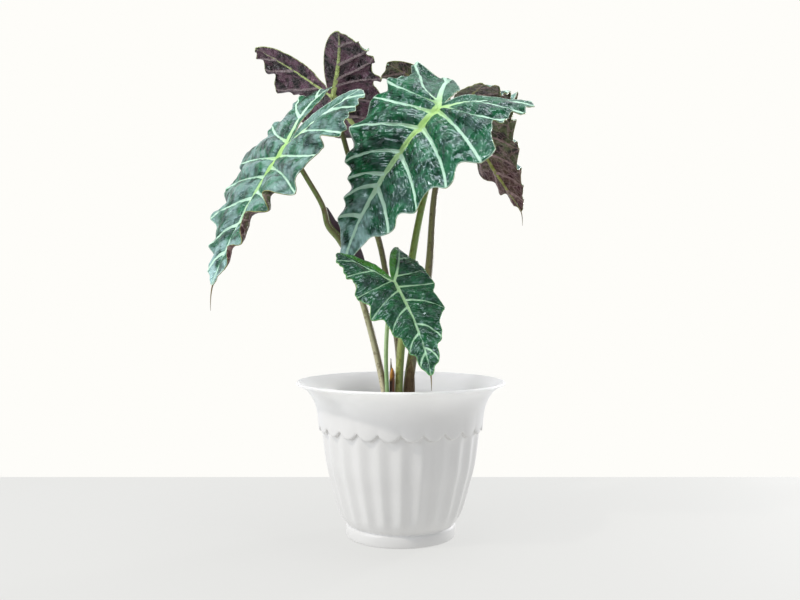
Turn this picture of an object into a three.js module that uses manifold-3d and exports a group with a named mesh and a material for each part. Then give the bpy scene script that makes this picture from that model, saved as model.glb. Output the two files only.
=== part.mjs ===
// A potted arrow-leaved alocasia: a fluted white plastic planter, potting soil, and a plant of five leaves.
// Millimetres, +Z up. The origin is the middle of the planter's underside. The front of the plant faces -Y.
import * as THREE from 'three';
import Module from 'manifold-3d';

const wasm = await Module();
wasm.setup();

const { Vector2, Vector3 } = THREE;
const rad = THREE.MathUtils.degToRad;
const lerp = THREE.MathUtils.lerp;

// ---------- driving dimensions ----------
const GAP = 0.3; // clearance between pieces that touch

// planter
const RIM_RADIUS = 100;
const POT_HEIGHT = 148;
const FOOT_RADIUS = 52.5;
const FLUTES = 24; // flutes of the body, and scallops of the collar above them
const STEPS_PER_FLUTE = 3;
const FLUTE_DEPTH = 1.3;
const COLLAR_CUSP_Z = 108;
const SCALLOP_DROP = 6; // how far each scallop of the collar hangs below its cusps
const FLOOR_THICKNESS = 2.6;
const DRAIN_HOLES = 6;
const DRAIN_HOLE_RADIUS = 4;
const DRAIN_CIRCLE_RADIUS = 30;
const BODY_PROFILE = [[53.4, 14.4], [58.4, 22], [67.5, 52], [72.4, 72], [75.7, 98]];
const COLLAR_PROFILE = [
  [76, COLLAR_CUSP_Z - 0.5], [78.6, COLLAR_CUSP_Z], [80, 120], [84.6, 132], [90, 139.9],
  [RIM_RADIUS, 145.8],
];
const LIP_PROFILE = [[RIM_RADIUS, 147.2], [98.6, POT_HEIGHT], [97, POT_HEIGHT - 0.5]];
const INSIDE_PROFILE = [
  [88.4, 142.2], [81.6, 131.5], [77, 116], [73.4, 100], [69.6, 70], [64.4, 50], [54.6, 21],
  [46, FLOOR_THICKNESS + 4], [40, FLOOR_THICKNESS],
];

// soil and rhizome
const SOIL_SEGMENTS = 32;
const SOIL_PROFILE = [[75, 112], [64, 113.5], [50, 112.6], [36, 114.5], [24, 114], [12, 115], [0, 115]];
const SOIL_CLODS = 1.1; // height of the lumps on the soil
const RHIZOME_CENTRE = [-1.5, -0.5];
const RHIZOME_PROFILE = [
  [0, 72], [9, 73], [15, 79], [17.5, 90], [18, 106], [16.5, 116], [12.5, 121.5], [0, 124],
];
const RHIZOME_SEGMENTS = 20;

// blades
const BLADE_THICKNESS = 0.9;
const MIDRIB_HEIGHT = 1.2; // how far the midrib stands out of the underside
const MIDRIB_SHARE = 0.07; // its half-width, as a share of the half-blade's
const VEINS = [-0.75, -0.48, -0.22, 0, 0.16, 0.35, 0.55, 0.76]; // where the side veins start
const ROWS_PER_VEIN = 3;
const SCALLOP_SHARE = 0.07; // how far the edge draws in between vein tips, as a share of the half-width
const QUILT_SHARE = 0.05; // how far the blade puffs up between veins
const EDGE_WAVE_SHARE = 0.05; // how far the edge lifts between vein tips
const VEIN_ANGLE = 84; // angle of the first side vein to the midrib, in degrees
const SINUS_SHARE = 0.06; // blade behind the stalk, as a share of the midrib's length
const SPINE_STEPS = 32;
const REACH_STATIONS = [-1, -0.7, -0.3, 0.1, 0.45, 0.8, 1];

// leaf stalks
const STALK_SIDES = 10;
const STALK_STEPS = 16;
const SHEATH_STEPS = 12;

const POT_COLOUR = 0xe9e9e8;
const SOIL_COLOUR = 0x3a2c22;
const RHIZOME_COLOUR = 0x6b4a30;
const HUSK_COLOUR = 0x8a5a34;
const SHOOT_COLOUR = 0xb0662c;
const SHEATH_COLOUR = 0x3d2a33;

// The five leaves. stalk: points of the leaf stalk from its foot in the rhizome to the blade. radii: the
// stalk's at foot and top. At the stalk's top the midrib has a bearing (degrees anticlockwise from +X), a
// pitch (above the horizon) and a roll about itself; on its way to the tip the blade droops, swerves and
// twists. The halves are the right and the left one, seen along the midrib from above: half-width and
// hind-lobe length as shares of the midrib's length; the lobe's spread, lift and arch; the fold of the half
// upwards at lobe tip, stalk and leaf tip; the tuck of the lobe's inner side; the curl of the edge; the
// lean of the side veins; and the reach of the edge at the stations between lobe tip and leaf tip.
const LEAVES = [
  {
    name: 'front', bladeColour: 0x1d4a35, stalkColour: 0x6f7a45, radii: [4, 3],
    stalk: [
      [-1.2, -5, 102], [-1.8, -4.4, 140], [1, -1.5, 187], [11, 2, 266], [20, 2, 314], [33, -6, 365],
      [39, -22, 391], [34.5, -35, 401],
    ],
    bearing: -162, pitch: -45, roll: 36, midrib: 165, droop: 26, swerve: -37, twist: 32,
    halves: [
      {
        width: 0.39, lobe: 0.47, spread: 37, lift: -47, arch: -7, foldLobe: 26, fold: 5, foldTip: 17,
        tuck: 1, curl: 0.09, lean: -1, reach: [1.15, 1.2, 1.22, 0.88, 0.83],
      },
      {
        width: 0.4, lobe: 0.51, spread: 38, lift: -47, arch: 11, foldLobe: 18, fold: 9, foldTip: -12,
        tuck: 4, curl: 0.06, lean: -4, reach: [1, 1.02, 1.32, 1.12, 0.85],
      },
    ],
  },
  {
    name: 'left', bladeColour: 0x1f4c3a, stalkColour: 0x8a8455, radii: [3.6, 2.3],
    stalk: [
      [-11, -2, 102], [-16, -3, 140], [-27.5, -4, 192], [-36, -6, 223], [-47.5, -8, 262], [-58.8, -9, 283],
      [-69.2, -10, 296], [-73.8, -12, 314], [-87.7, -15, 339], [-102, -20, 362], [-108, -24, 368],
    ],
    bearing: -173, pitch: -56, roll: 21, midrib: 145, droop: 13, swerve: 16, twist: -13,
    halves: [
      {
        width: 0.46, lobe: 0.66, spread: 26, lift: -7, arch: -27, foldLobe: 7, fold: 4, foldTip: 23,
        tuck: 3, curl: 0.07, lean: 6, reach: [1.07, 1.08, 1.54, 1.16, 0.94],
      },
      {
        width: 0.46, lobe: 0.64, spread: 34, lift: -3, arch: -9, foldLobe: -13, fold: -2, foldTip: 29,
        tuck: 7, curl: 0.09, lean: 13, reach: [1, 1.1, 1.14, 1.1, 1.02],
      },
    ],
  },
  {
    name: 'back_left', bladeColour: 0x4b3338, stalkColour: 0x5f6140, radii: [3.1, 2.6],
    stalk: [
      [-2, 8, 102], [-1.7, 10, 139], [-2.6, 14, 176], [-15.7, 28, 257], [-22.8, 34, 288], [-51.9, 50, 368],
      [-58.3, 55, 390], [-71, 68, 437],
    ],
    bearing: 52, pitch: -37, roll: -1, midrib: 162, droop: -14, swerve: 17, twist: -27,
    halves: [
      {
        width: 0.37, lobe: 0.57, spread: 38, lift: -3, arch: -16, foldLobe: 0, fold: 24, foldTip: 22,
        tuck: 10, curl: 0.09, lean: -12, reach: [1.15, 0.94, 0.9, 0.98, 1],
      },
      {
        width: 0.37, lobe: 0.57, spread: 37, lift: 3, arch: -15, foldLobe: 4, fold: 11, foldTip: 31,
        tuck: 17, curl: 0.09, lean: -15, reach: [0.92, 1.02, 1.05, 0.99, 1],
      },
    ],
  },
  {
    name: 'back_right', bladeColour: 0x3d3334, stalkColour: 0x6b6a45, radii: [5.2, 2.6],
    stalk: [
      [5.5, 1, 102], [7.2, 2.5, 139], [11, 7, 168], [27.2, 28, 250], [34.9, 45, 335], [50, 60, 399],
      [59, 68, 421],
    ],
    bearing: 62, pitch: -28, roll: -3, midrib: 161, droop: 15, swerve: -22, twist: 5,
    halves: [
      {
        width: 0.37, lobe: 0.54, spread: 39, lift: -33, arch: 5, foldLobe: 8, fold: 9, foldTip: 30,
        tuck: -5, curl: 0.08, lean: -13, reach: [1, 1, 1, 1, 0.96],
      },
      {
        width: 0.37, lobe: 0.55, spread: 38, lift: 12, arch: -17, foldLobe: -8, fold: 19, foldTip: 26,
        tuck: 27, curl: 0.07, lean: -25, reach: [1, 1, 1, 1.05, 0.98],
      },
    ],
  },
  {
    name: 'young', bladeColour: 0x1f6b35, stalkColour: 0x7fae3c, radii: [2, 1.8],
    stalk: [
      [-12, -9.5, 102], [-13, -13, 141], [-13.9, -18, 169], [-12.8, -28, 198], [-9, -43, 229],
      [-6, -52, 241],
    ],
    bearing: -45, pitch: -49, roll: -11, midrib: 102, droop: 1, swerve: -33, twist: -7,
    halves: [
      {
        width: 0.38, lobe: 0.57, spread: 37, lift: -15, arch: -7, foldLobe: 18, fold: 3, foldTip: 23,
        tuck: 13, curl: 0.1, lean: -9, reach: [0.97, 1, 1.17, 0.93, 0.94],
      },
      {
        width: 0.37, lobe: 0.56, spread: 35, lift: -8, arch: -5, foldLobe: -19, fold: 16, foldTip: 27,
        tuck: 11, curl: 0.06, lean: -6, reach: [1, 0.97, 1.03, 0.95, 0.94],
      },
    ],
  },
];

// The wing-like sheath of the left leaf's stalk: from and to are shares of the stalk's length.
const SHEATH = { from: 0.45, to: 0.77, halfWidth: 5.5, halfThickness: 1.6, backward: 0.35 };

// Dry husks of old leaf bases wrap the stalks and stand on the rhizome; a young shoot stands in it.
const HUSK_THICKNESS = 0.8;
const HUSKS = [
  {
    name: 'husk_right', foot: [6.6, 1.4, 112], tip: [7.4, 1.6, 166],
    radius: 6.3, bearing: -70, spread: 62, flare: 0.5,
  },
  {
    name: 'husk_left', foot: [-3.2, -4.8, 114], tip: [-4.2, -5.2, 169],
    radius: 5, bearing: 150, spread: 36, flare: 1,
  },
];
const SHOOT = { path: [[-7, -9.3, 104], [-8.2, -9.5, 135], [-8, -9, 161]], radii: [2.9, 2.2] };

// ---------- solids and meshes ----------

// A geometry from corner points and triangles, with coincident corners merged and flat triangles left out.
function geometryFrom(points, triangles) {
  const numbers = new Map();
  const kept = [];
  const merged = points.map((p) => {
    const key = [p.x, p.y, p.z].map((v) => Math.round(v * 1e4)).join();
    if (!numbers.has(key)) {
      numbers.set(key, kept.length);
      kept.push(p);
    }
    return numbers.get(key);
  });
  const faces = triangles
    .map((t) => t.map((i) => merged[i]))
    .filter(([a, b, c]) => a !== b && b !== c && c !== a);
  const geometry = new THREE.BufferGeometry().setFromPoints(kept);
  geometry.setIndex(faces.flat());
  geometry.computeVertexNormals();
  return geometry;
}

// The same geometry with its seams closed, as booleans need it.
function closed(geometry) {
  const position = geometry.attributes.position;
  const point = (_, i) => new Vector3().fromBufferAttribute(position, i);
  const points = Array.from({ length: position.count }, point);
  const index = geometry.index ? Array.from(geometry.index.array) : points.map((_, i) => i);
  const triangles = [];
  for (let i = 0; i < index.length; i += 3) triangles.push(index.slice(i, i + 3));
  return geometryFrom(points, triangles);
}

function solidOf(geometry) {
  const vertProperties = new Float32Array(geometry.attributes.position.array);
  const triVerts = new Uint32Array(geometry.index.array);
  return new wasm.Manifold(new wasm.Mesh({ numProp: 3, vertProperties, triVerts }));
}

// The largest body of a solid, as a geometry: a cut can leave a loose sliver, which is dropped.
function geometryOf(solid) {
  const largest = solid.decompose().reduce((a, b) => (a.volume() > b.volume() ? a : b));
  const { vertProperties, triVerts } = largest.getMesh();
  const geometry = new THREE.BufferGeometry();
  geometry.setAttribute('position', new THREE.BufferAttribute(vertProperties, 3));
  geometry.setIndex(new THREE.BufferAttribute(triVerts, 1));
  return closed(geometry);
}

function cut(geometry, cutters) {
  return geometryOf(cutters.reduce((solid, cutter) => solid.subtract(solidOf(cutter)), solidOf(geometry)));
}

// A body turned about +Z from a profile of [radius, height] points.
function turned(profile, segments) {
  const geometry = new THREE.LatheGeometry(profile.map(([r, z]) => new Vector2(r, z)), segments);
  return closed(geometry.rotateX(Math.PI / 2));
}

// Moves each corner of a geometry by a rule.
function reshaped(geometry, move) {
  const position = geometry.attributes.position;
  const p = new Vector3();
  for (let i = 0; i < position.count; i += 1) {
    move(p.fromBufferAttribute(position, i));
    position.setXYZ(i, p.x, p.y, p.z);
  }
  return closed(geometry);
}

const root = new THREE.Group();

function addPiece(name, geometry, colour, roughness) {
  const material = new THREE.MeshStandardMaterial({ color: colour, roughness, metalness: 0 });
  const mesh = new THREE.Mesh(geometry, material);
  mesh.name = name;
  root.add(mesh);
}

// ---------- planter ----------

// Share of the way across a flute, 0 at its ribs, for an angle about +Z; a rib faces the front.
function fluteShare(x, y) {
  const turns = (Math.atan2(x, -y) / (2 * Math.PI)) * FLUTES;
  return turns - Math.floor(turns);
}

function planter() {
  const profile = [
    [0, 0], [FOOT_RADIUS - 2, 0], [FOOT_RADIUS, 2], [FOOT_RADIUS, 10.6], [50.8, 12.4],
    ...BODY_PROFILE, ...COLLAR_PROFILE, ...LIP_PROFILE, ...INSIDE_PROFILE, [0, FLOOR_THICKNESS],
  ];
  const wall = turned(profile, FLUTES * STEPS_PER_FLUTE);
  const bodyBottom = BODY_PROFILE[0][1];
  const collarEdge = [COLLAR_PROFILE[0], COLLAR_PROFILE[1]];
  const isOn = (p, [r, z]) => Math.abs(Math.hypot(p.x, p.y) - r) < 0.01 && Math.abs(p.z - z) < 0.01;
  const fluted = reshaped(wall, (p) => {
    const arch = Math.sin(Math.PI * fluteShare(p.x, p.y));
    if (BODY_PROFILE.slice(1).some((row) => isOn(p, row))) {
      const fade = Math.min(1, (p.z - bodyBottom) / 15);
      const r = Math.hypot(p.x, p.y);
      const k = (r - FLUTE_DEPTH * arch * fade) / r;
      p.set(p.x * k, p.y * k, p.z);
    } else if (collarEdge.some((row) => isOn(p, row))) {
      p.z -= SCALLOP_DROP * arch ** 0.7;
    }
  });
  const drain = new THREE.CylinderGeometry(DRAIN_HOLE_RADIUS, DRAIN_HOLE_RADIUS, 4 * FLOOR_THICKNESS, 16);
  drain.rotateX(Math.PI / 2);
  const drains = Array.from({ length: DRAIN_HOLES }, (_, i) => {
    const angle = (2 * Math.PI * i) / DRAIN_HOLES;
    return closed(drain.clone().translate(
      DRAIN_CIRCLE_RADIUS * Math.cos(angle), DRAIN_CIRCLE_RADIUS * Math.sin(angle), 0));
  });
  return cut(fluted, drains);
}

// ---------- leaf stalks ----------

// A closed body through elliptical sections, each with a centre and two half-axes.
function lofted(sections, sides) {
  const corners = sections.flatMap(({ centre, wide, thick }) => Array.from({ length: sides }, (_, k) => {
    const angle = (2 * Math.PI * k) / sides;
    return centre.clone().addScaledVector(wide, Math.cos(angle)).addScaledVector(thick, Math.sin(angle));
  }));
  const corner = (i, k) => i * sides + (k % sides);
  const last = sections.length - 1;
  const triangles = [];
  for (let k = 0; k < sides; k += 1) {
    for (let i = 0; i < last; i += 1) {
      triangles.push([corner(i, k), corner(i, k + 1), corner(i + 1, k + 1)]);
      triangles.push([corner(i, k), corner(i + 1, k + 1), corner(i + 1, k)]);
    }
    if (k > 1) {
      triangles.push([corner(0, 0), corner(0, k), corner(0, k - 1)]);
      triangles.push([corner(last, 0), corner(last, k - 1), corner(last, k)]);
    }
  }
  return geometryFrom(corners, triangles);
}

// A round stalk along a smooth path, from one radius to another; grow widens and lengthens it for a cut.
function stalk(points, footRadius, topRadius, grow = 0) {
  const path = new THREE.CatmullRomCurve3(points.map((p) => new Vector3(...p)), false, 'centripetal');
  const frames = path.computeFrenetFrames(STALK_STEPS, false);
  const sections = Array.from({ length: STALK_STEPS + 1 }, (_, i) => {
    const share = i / STALK_STEPS;
    const radius = lerp(footRadius, topRadius, share) + grow;
    const centre = path.getPointAt(share);
    if (i === 0) centre.addScaledVector(frames.tangents[0], -grow);
    return {
      centre,
      wide: frames.normals[i].clone().multiplyScalar(radius),
      thick: frames.binormals[i].clone().multiplyScalar(radius),
    };
  });
  return lofted(sections, STALK_SIDES);
}

// ---------- blades ----------

const smoothSum = (parts) => parts.reduce((sum, [v, k]) => sum.addScaledVector(v, k), new Vector3());

// The directions along, across and out of the blade at a share of the midrib.
function spineFrame(leaf, share) {
  const bearing = rad(leaf.bearing + leaf.swerve * share);
  const pitch = rad(leaf.pitch - leaf.droop * share);
  const roll = rad(leaf.roll + leaf.twist * share);
  const along = new Vector3(
    Math.cos(pitch) * Math.cos(bearing), Math.cos(pitch) * Math.sin(bearing), Math.sin(pitch));
  const level = new Vector3(Math.sin(bearing), -Math.cos(bearing), 0);
  const up = level.clone().cross(along);
  return {
    along,
    across: smoothSum([[level, Math.cos(roll)], [up, Math.sin(roll)]]),
    normal: smoothSum([[up, Math.cos(roll)], [level, -Math.sin(roll)]]),
  };
}

// The frame of one half, folded up along the midrib or the hind lobe's rib; s runs from the lobe's tip at
// -1, through the stalk at 0, to the blade's tip at 1.
function halfFrame(leaf, half, side, s) {
  const frame = spineFrame(leaf, Math.max(s, 0));
  frame.across.multiplyScalar(side);
  const end = s < 0 ? half.foldLobe : half.foldTip;
  if (s < 0) {
    const stalkFold = rad(half.fold);
    const angle = rad(veinAngle(half, 0));
    const hinge = smoothSum([
      [frame.across, Math.sin(angle) * Math.cos(stalkFold)],
      [frame.normal, Math.sin(angle) * Math.sin(stalkFold)],
      [frame.along, Math.cos(angle)],
    ]);
    const turn = -side * rad(half.lift * -s * (2 + s) + half.arch * s * s);
    for (const v of Object.values(frame)) v.applyAxisAngle(hinge, turn);
  }
  const fold = rad(lerp(half.fold, end, Math.abs(s)));
  return {
    along: frame.along,
    across: smoothSum([[frame.across, Math.cos(fold)], [frame.normal, Math.sin(fold)]]),
    normal: smoothSum([[frame.normal, Math.cos(fold)], [frame.across, -Math.sin(fold)]]),
  };
}

function veinAngle(half, s) {
  return half.lean + VEIN_ANGLE - (s < 0 ? 22 * s : 44 * s ** 0.6);
}

const lobeSpread = (half, s) => rad(half.spread * (1.15 + 0.3 * s));

// Points of the midrib (forward 1) or of the hind lobe's rib (forward -1), found by walking along it.
function ribPath(leaf, half, side, forward) {
  const length = forward > 0 ? leaf.midrib : leaf.midrib * half.lobe;
  const points = [new Vector3(...leaf.stalk.at(-1))];
  for (let i = 0; i < SPINE_STEPS; i += 1) {
    const s = (forward * (i + 0.5)) / SPINE_STEPS;
    const frame = halfFrame(leaf, half, side, s);
    const spread = lobeSpread(half, s);
    const step = forward > 0
      ? frame.along
      : smoothSum([[frame.along, -Math.cos(spread)], [frame.across, Math.sin(spread)]]);
    points.push(points[i].clone().addScaledVector(step, length / SPINE_STEPS));
  }
  return points;
}

function pointOn(path, share) {
  const place = share * SPINE_STEPS;
  const i = Math.min(Math.floor(place), SPINE_STEPS - 1);
  return path[i].clone().lerp(path[i + 1], place - i);
}

// A value between stations, in a straight line from each to the next.
function between(stations, values, s) {
  const i = Math.min(Math.max(stations.findIndex((v) => v >= s) - 1, 0), stations.length - 2);
  return lerp(values[i], values[i + 1], (s - stations[i]) / (stations[i + 1] - stations[i]));
}

const VEIN_BOUNDS = [-1, ...VEINS, 1];
const veinCount = (s) => between(VEIN_BOUNDS, VEIN_BOUNDS.map((_, i) => i), s);

// Half-width of the blade from its rib, along the side veins.
function halfWidth(leaf, half, s) {
  const outline = s < 0
    ? (1 - (-s) ** 1.6) ** 0.75 * (1 + 0.12 * s)
    : (1 - s) ** 0.8 * (1 + 0.42 * s);
  const scallop = 1 - SCALLOP_SHARE * Math.abs(Math.sin(Math.PI * veinCount(s)));
  return half.width * leaf.midrib * outline * scallop * between(REACH_STATIONS, [1, ...half.reach, 1], s);
}

// How far the blade stands off its plane: puffed up between veins, with a lifting and dipping edge.
function relief(width, s, t) {
  const puff = Math.sin(Math.PI * veinCount(s)) ** 2;
  const quilt = QUILT_SHARE * puff * Math.sin(Math.PI * t ** 0.8);
  const wave = EDGE_WAVE_SHARE * (puff - 0.5) * t ** 3;
  return width * (quilt + wave);
}

function outerPoint(leaf, half, side, ribs, s, t) {
  const frame = halfFrame(leaf, half, side, s);
  const angle = rad(veinAngle(half, s));
  const width = halfWidth(leaf, half, s);
  return pointOn(s < 0 ? ribs.lobe : ribs.midrib, Math.abs(s))
    .addScaledVector(frame.across, width * t * Math.sin(angle))
    .addScaledVector(frame.along, width * t * Math.cos(angle))
    .addScaledVector(frame.normal, relief(width, s, t) - half.curl * width * t * t);
}

function innerPoint(leaf, half, side, ribs, s, t) {
  const u = -s;
  const frame = halfFrame(leaf, half, side, s);
  const spread = lobeSpread(half, s);
  const rib = smoothSum([[frame.along, -Math.cos(spread)], [frame.across, Math.sin(spread)]]);
  const angle = rad(half.spread * u * u - 136 * u * (1 - u));
  const reach = smoothSum([[frame.across, Math.sin(angle)], [frame.along, -Math.cos(angle)]]);
  reach.applyAxisAngle(rib, -side * rad(half.tuck) * Math.sin(Math.PI * u) ** 0.7);
  const width = leaf.midrib * (SINUS_SHARE + 0.1 * u ** 0.7) * (1 - u ** 3) ** 0.8;
  return pointOn(ribs.lobe, u).addScaledVector(reach, width * t);
}

const ROWS = VEIN_BOUNDS.slice(1).flatMap((end, i) => Array.from(
  { length: ROWS_PER_VEIN }, (_, k) => lerp(VEIN_BOUNDS[i], end, k / ROWS_PER_VEIN))).concat([1]);
const OUTER_COLUMNS = [0, MIDRIB_SHARE, 0.45, 0.8, 1];
const INNER_COLUMNS = [0, 0.5, 1];

// The mid-surface of a blade: its points, the height of the midrib under each, and its triangles.
function bladeSheet(leaf) {
  const points = [];
  const ribs = [];
  const triangles = [];
  const addPatch = (rows, columns, flip, pointAt) => {
    const first = points.length;
    for (const s of rows) {
      for (const t of columns) {
        points.push(pointAt(s, t));
        ribs.push(t === 0 ? MIDRIB_HEIGHT * (1 - 0.75 * Math.abs(s)) : 0);
      }
    }
    for (let i = 0; i + 1 < rows.length; i += 1) {
      for (let k = 0; k + 1 < columns.length; k += 1) {
        const a = first + i * columns.length + k;
        const [b, c, d] = [a + 1, a + columns.length + 1, a + columns.length];
        const pair = [[a, b, c], [a, c, d]];
        triangles.push(...pair.map((t) => (flip ? t.reverse() : t)));
      }
    }
  };
  leaf.halves.forEach((half, index) => {
    const side = index === 0 ? 1 : -1;
    const paths = {
      midrib: ribPath(leaf, half, side, 1),
      lobe: ribPath(leaf, half, side, -1),
    };
    const outer = (s, t) => outerPoint(leaf, half, side, paths, s, t);
    const inner = (s, t) => innerPoint(leaf, half, side, paths, s, t);
    addPatch(ROWS, OUTER_COLUMNS, side < 0, outer);
    addPatch(ROWS.filter((s) => s <= 1e-9), INNER_COLUMNS, side > 0, inner);
  });
  return { points, ribs, triangles };
}

// A closed solid of a sheet, grown to both sides of it with the same triangles on its two faces.
function thickened({ points, ribs, triangles }, thickness, grow = 0) {
  const numbers = new Map();
  const merged = [];
  const ribOf = [];
  const renumber = points.map((p, i) => {
    const key = [p.x, p.y, p.z].map((v) => Math.round(v * 1e3)).join();
    if (!numbers.has(key)) {
      numbers.set(key, merged.length);
      merged.push(p);
      ribOf.push(ribs[i]);
    }
    return numbers.get(key);
  });
  const faces = triangles
    .map((t) => t.map((i) => renumber[i]))
    .filter(([a, b, c]) => a !== b && b !== c && c !== a);
  const sheet = new THREE.BufferGeometry().setFromPoints(merged);
  sheet.setIndex(faces.flat());
  sheet.computeVertexNormals();
  const normals = sheet.attributes.normal;
  const normal = (i) => new Vector3().fromBufferAttribute(normals, i);
  const half = thickness / 2 + grow;
  const top = merged.map((p, i) => p.clone().addScaledVector(normal(i), half));
  const under = merged.map((p, i) => p.clone().addScaledVector(normal(i), -half - ribOf[i]));
  const count = merged.length;
  const solidFaces = faces.flatMap(([a, b, c]) => [[a, b, c], [c + count, b + count, a + count]]);
  const edges = new Set(faces.flatMap(([a, b, c]) => [`${a},${b}`, `${b},${c}`, `${c},${a}`]));
  for (const edge of edges) {
    const [a, b] = edge.split(',').map(Number);
    if (edges.has(`${b},${a}`)) continue;
    solidFaces.push([a, a + count, b + count], [a, b + count, b]);
  }
  return geometryFrom([...top, ...under], solidFaces);
}

// ---------- husks and sheath: thin curved sheets round a stalk ----------

// A leaf base's dry husk: part of a tube wall round a line, narrowing to its tip.
function husk({ foot, tip, radius, bearing, spread, flare }) {
  const start = new Vector3(...foot);
  const line = new Vector3(...tip).sub(start);
  const rows = Array.from({ length: 9 }, (_, i) => i / 8);
  const columns = Array.from({ length: 9 }, (_, i) => i / 4 - 1);
  const points = [];
  const triangles = [];
  rows.forEach((u) => columns.forEach((v) => {
    const angle = rad(bearing + v * spread * (1 - u ** 2.2) ** 0.6);
    const r = radius + flare * u * u;
    points.push(start.clone().addScaledVector(line, u)
      .add(new Vector3(r * Math.cos(angle), r * Math.sin(angle), 0)));
  }));
  for (let i = 0; i + 1 < rows.length; i += 1) {
    for (let k = 0; k + 1 < columns.length; k += 1) {
      const a = i * columns.length + k;
      const [b, c, d] = [a + 1, a + columns.length + 1, a + columns.length];
      triangles.push([a, b, c], [a, c, d]);
    }
  }
  return { points, ribs: points.map(() => 0), triangles };
}

// A flattened wing along one side of a stalk, pointed at both ends.
function sheath(leaf) {
  const path = new THREE.CatmullRomCurve3(leaf.stalk.map((p) => new Vector3(...p)), false, 'centripetal');
  const towardsViewer = new Vector3(0, -1, 0);
  const sections = Array.from({ length: SHEATH_STEPS + 1 }, (_, i) => {
    const share = i / SHEATH_STEPS;
    const place = lerp(SHEATH.from, SHEATH.to, share);
    const swell = Math.sin(Math.PI * share) ** 0.8 + 0.06;
    const tangent = path.getTangentAt(place);
    const wing = tangent.clone().cross(towardsViewer).normalize();
    wing.addScaledVector(towardsViewer, -SHEATH.backward).normalize();
    const wingWidth = SHEATH.halfWidth * swell;
    const offset = lerp(...leaf.radii, place) + 2 * GAP + wingWidth;
    return {
      centre: path.getPointAt(place).addScaledVector(wing, offset),
      wide: wing.clone().multiplyScalar(wingWidth),
      thick: tangent.clone().cross(wing).multiplyScalar(SHEATH.halfThickness * swell),
    };
  });
  return lofted(sections, STALK_SIDES);
}

// ---------- rhizome and soil ----------

function rhizome(grow) {
  const profile = RHIZOME_PROFILE.map(([r, z], i) => {
    const isEnd = r === 0;
    const lift = i < RHIZOME_PROFILE.length / 2 ? -grow : grow;
    return [isEnd ? 0 : r + grow, z + lift];
  });
  return turned(profile, RHIZOME_SEGMENTS).translate(...RHIZOME_CENTRE, 0);
}

// The soil fills the planter to below its rim; clods are lumps on the soil's top.
function soil() {
  const wallSide = INSIDE_PROFILE.filter(([, z]) => z < SOIL_PROFILE[0][1]).reverse()
    .map(([r, z]) => [r - 1.5 * GAP, z + (z < 2 * FLOOR_THICKNESS ? GAP : 0)]);
  const filled = turned([[0, FLOOR_THICKNESS + GAP], ...wallSide, ...SOIL_PROFILE], SOIL_SEGMENTS);
  const edgeZ = SOIL_PROFILE[0][1];
  return reshaped(filled, (p) => {
    const lumps = Math.sin(p.x * 0.31 + p.y * 0.12) + Math.sin(p.y * 0.37 - p.x * 0.2);
    if (p.z > edgeZ) p.z += SOIL_CLODS * lumps;
  });
}

// ---------- the pieces ----------

addPiece('pot', planter(), POT_COLOUR, 0.35);

for (const leaf of LEAVES) {
  const sheet = bladeSheet(leaf);
  addPiece(`blade_${leaf.name}`, thickened(sheet, BLADE_THICKNESS), leaf.bladeColour, 0.35);
  const stem = cut(stalk(leaf.stalk, ...leaf.radii), [thickened(sheet, BLADE_THICKNESS, GAP)]);
  addPiece(`petiole_${leaf.name}`, stem, leaf.stalkColour, 0.5);
}

const leftLeaf = LEAVES.find((leaf) => leaf.name === 'left');
const leftStalk = stalk(leftLeaf.stalk, ...leftLeaf.radii, GAP);
addPiece('sheath_left', cut(sheath(leftLeaf), [leftStalk]), SHEATH_COLOUR, 0.5);

addPiece('shoot', stalk(SHOOT.path, ...SHOOT.radii), SHOOT_COLOUR, 0.6);
const shootRoom = stalk(SHOOT.path, ...SHOOT.radii, GAP);
for (const piece of HUSKS) {
  const shell = thickened(husk(piece), HUSK_THICKNESS);
  addPiece(piece.name, cut(shell, [rhizome(GAP), shootRoom]), HUSK_COLOUR, 0.8);
}

const sockets = LEAVES.map((leaf) => stalk(leaf.stalk, ...leaf.radii, GAP));
addPiece('rhizome', cut(rhizome(0), [...sockets, shootRoom]), RHIZOME_COLOUR, 0.85);
addPiece('soil', cut(soil(), [rhizome(GAP)]), SOIL_COLOUR, 0.95);

export default root;
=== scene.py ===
# %% [markdown]
# # A potted alocasia
# An alocasia is a house plant with stiff, arrow-shaped leaves: dark green and glossy above with pale
# veins, and purple-brown below. This one has five leaves on long stalks and stands in a fluted white
# plastic planter.
#
# The plant was first built as plain solids in CAD. That model is loaded here as a fixed frame in metres,
# which says where every piece stands. Each step below makes one piece of the plant again with a fine
# surface and lets it replace its plain solid. Sizes are written in millimetres, as they would be measured
# on the plant.

import math

import bpy
import numpy as np
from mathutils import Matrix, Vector, noise


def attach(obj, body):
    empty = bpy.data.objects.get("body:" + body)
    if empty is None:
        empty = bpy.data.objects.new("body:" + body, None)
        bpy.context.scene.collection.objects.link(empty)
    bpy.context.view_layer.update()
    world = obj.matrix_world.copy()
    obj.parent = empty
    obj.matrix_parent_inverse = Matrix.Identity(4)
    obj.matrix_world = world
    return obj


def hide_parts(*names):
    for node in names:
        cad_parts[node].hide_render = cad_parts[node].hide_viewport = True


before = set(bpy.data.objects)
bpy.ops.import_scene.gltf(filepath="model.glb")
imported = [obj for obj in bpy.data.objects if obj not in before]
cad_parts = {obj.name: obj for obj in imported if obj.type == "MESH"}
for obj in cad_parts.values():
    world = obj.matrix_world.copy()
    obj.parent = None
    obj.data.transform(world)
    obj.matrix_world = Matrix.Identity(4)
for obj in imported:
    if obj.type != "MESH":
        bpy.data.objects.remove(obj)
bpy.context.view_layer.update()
MM = 0.001

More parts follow.
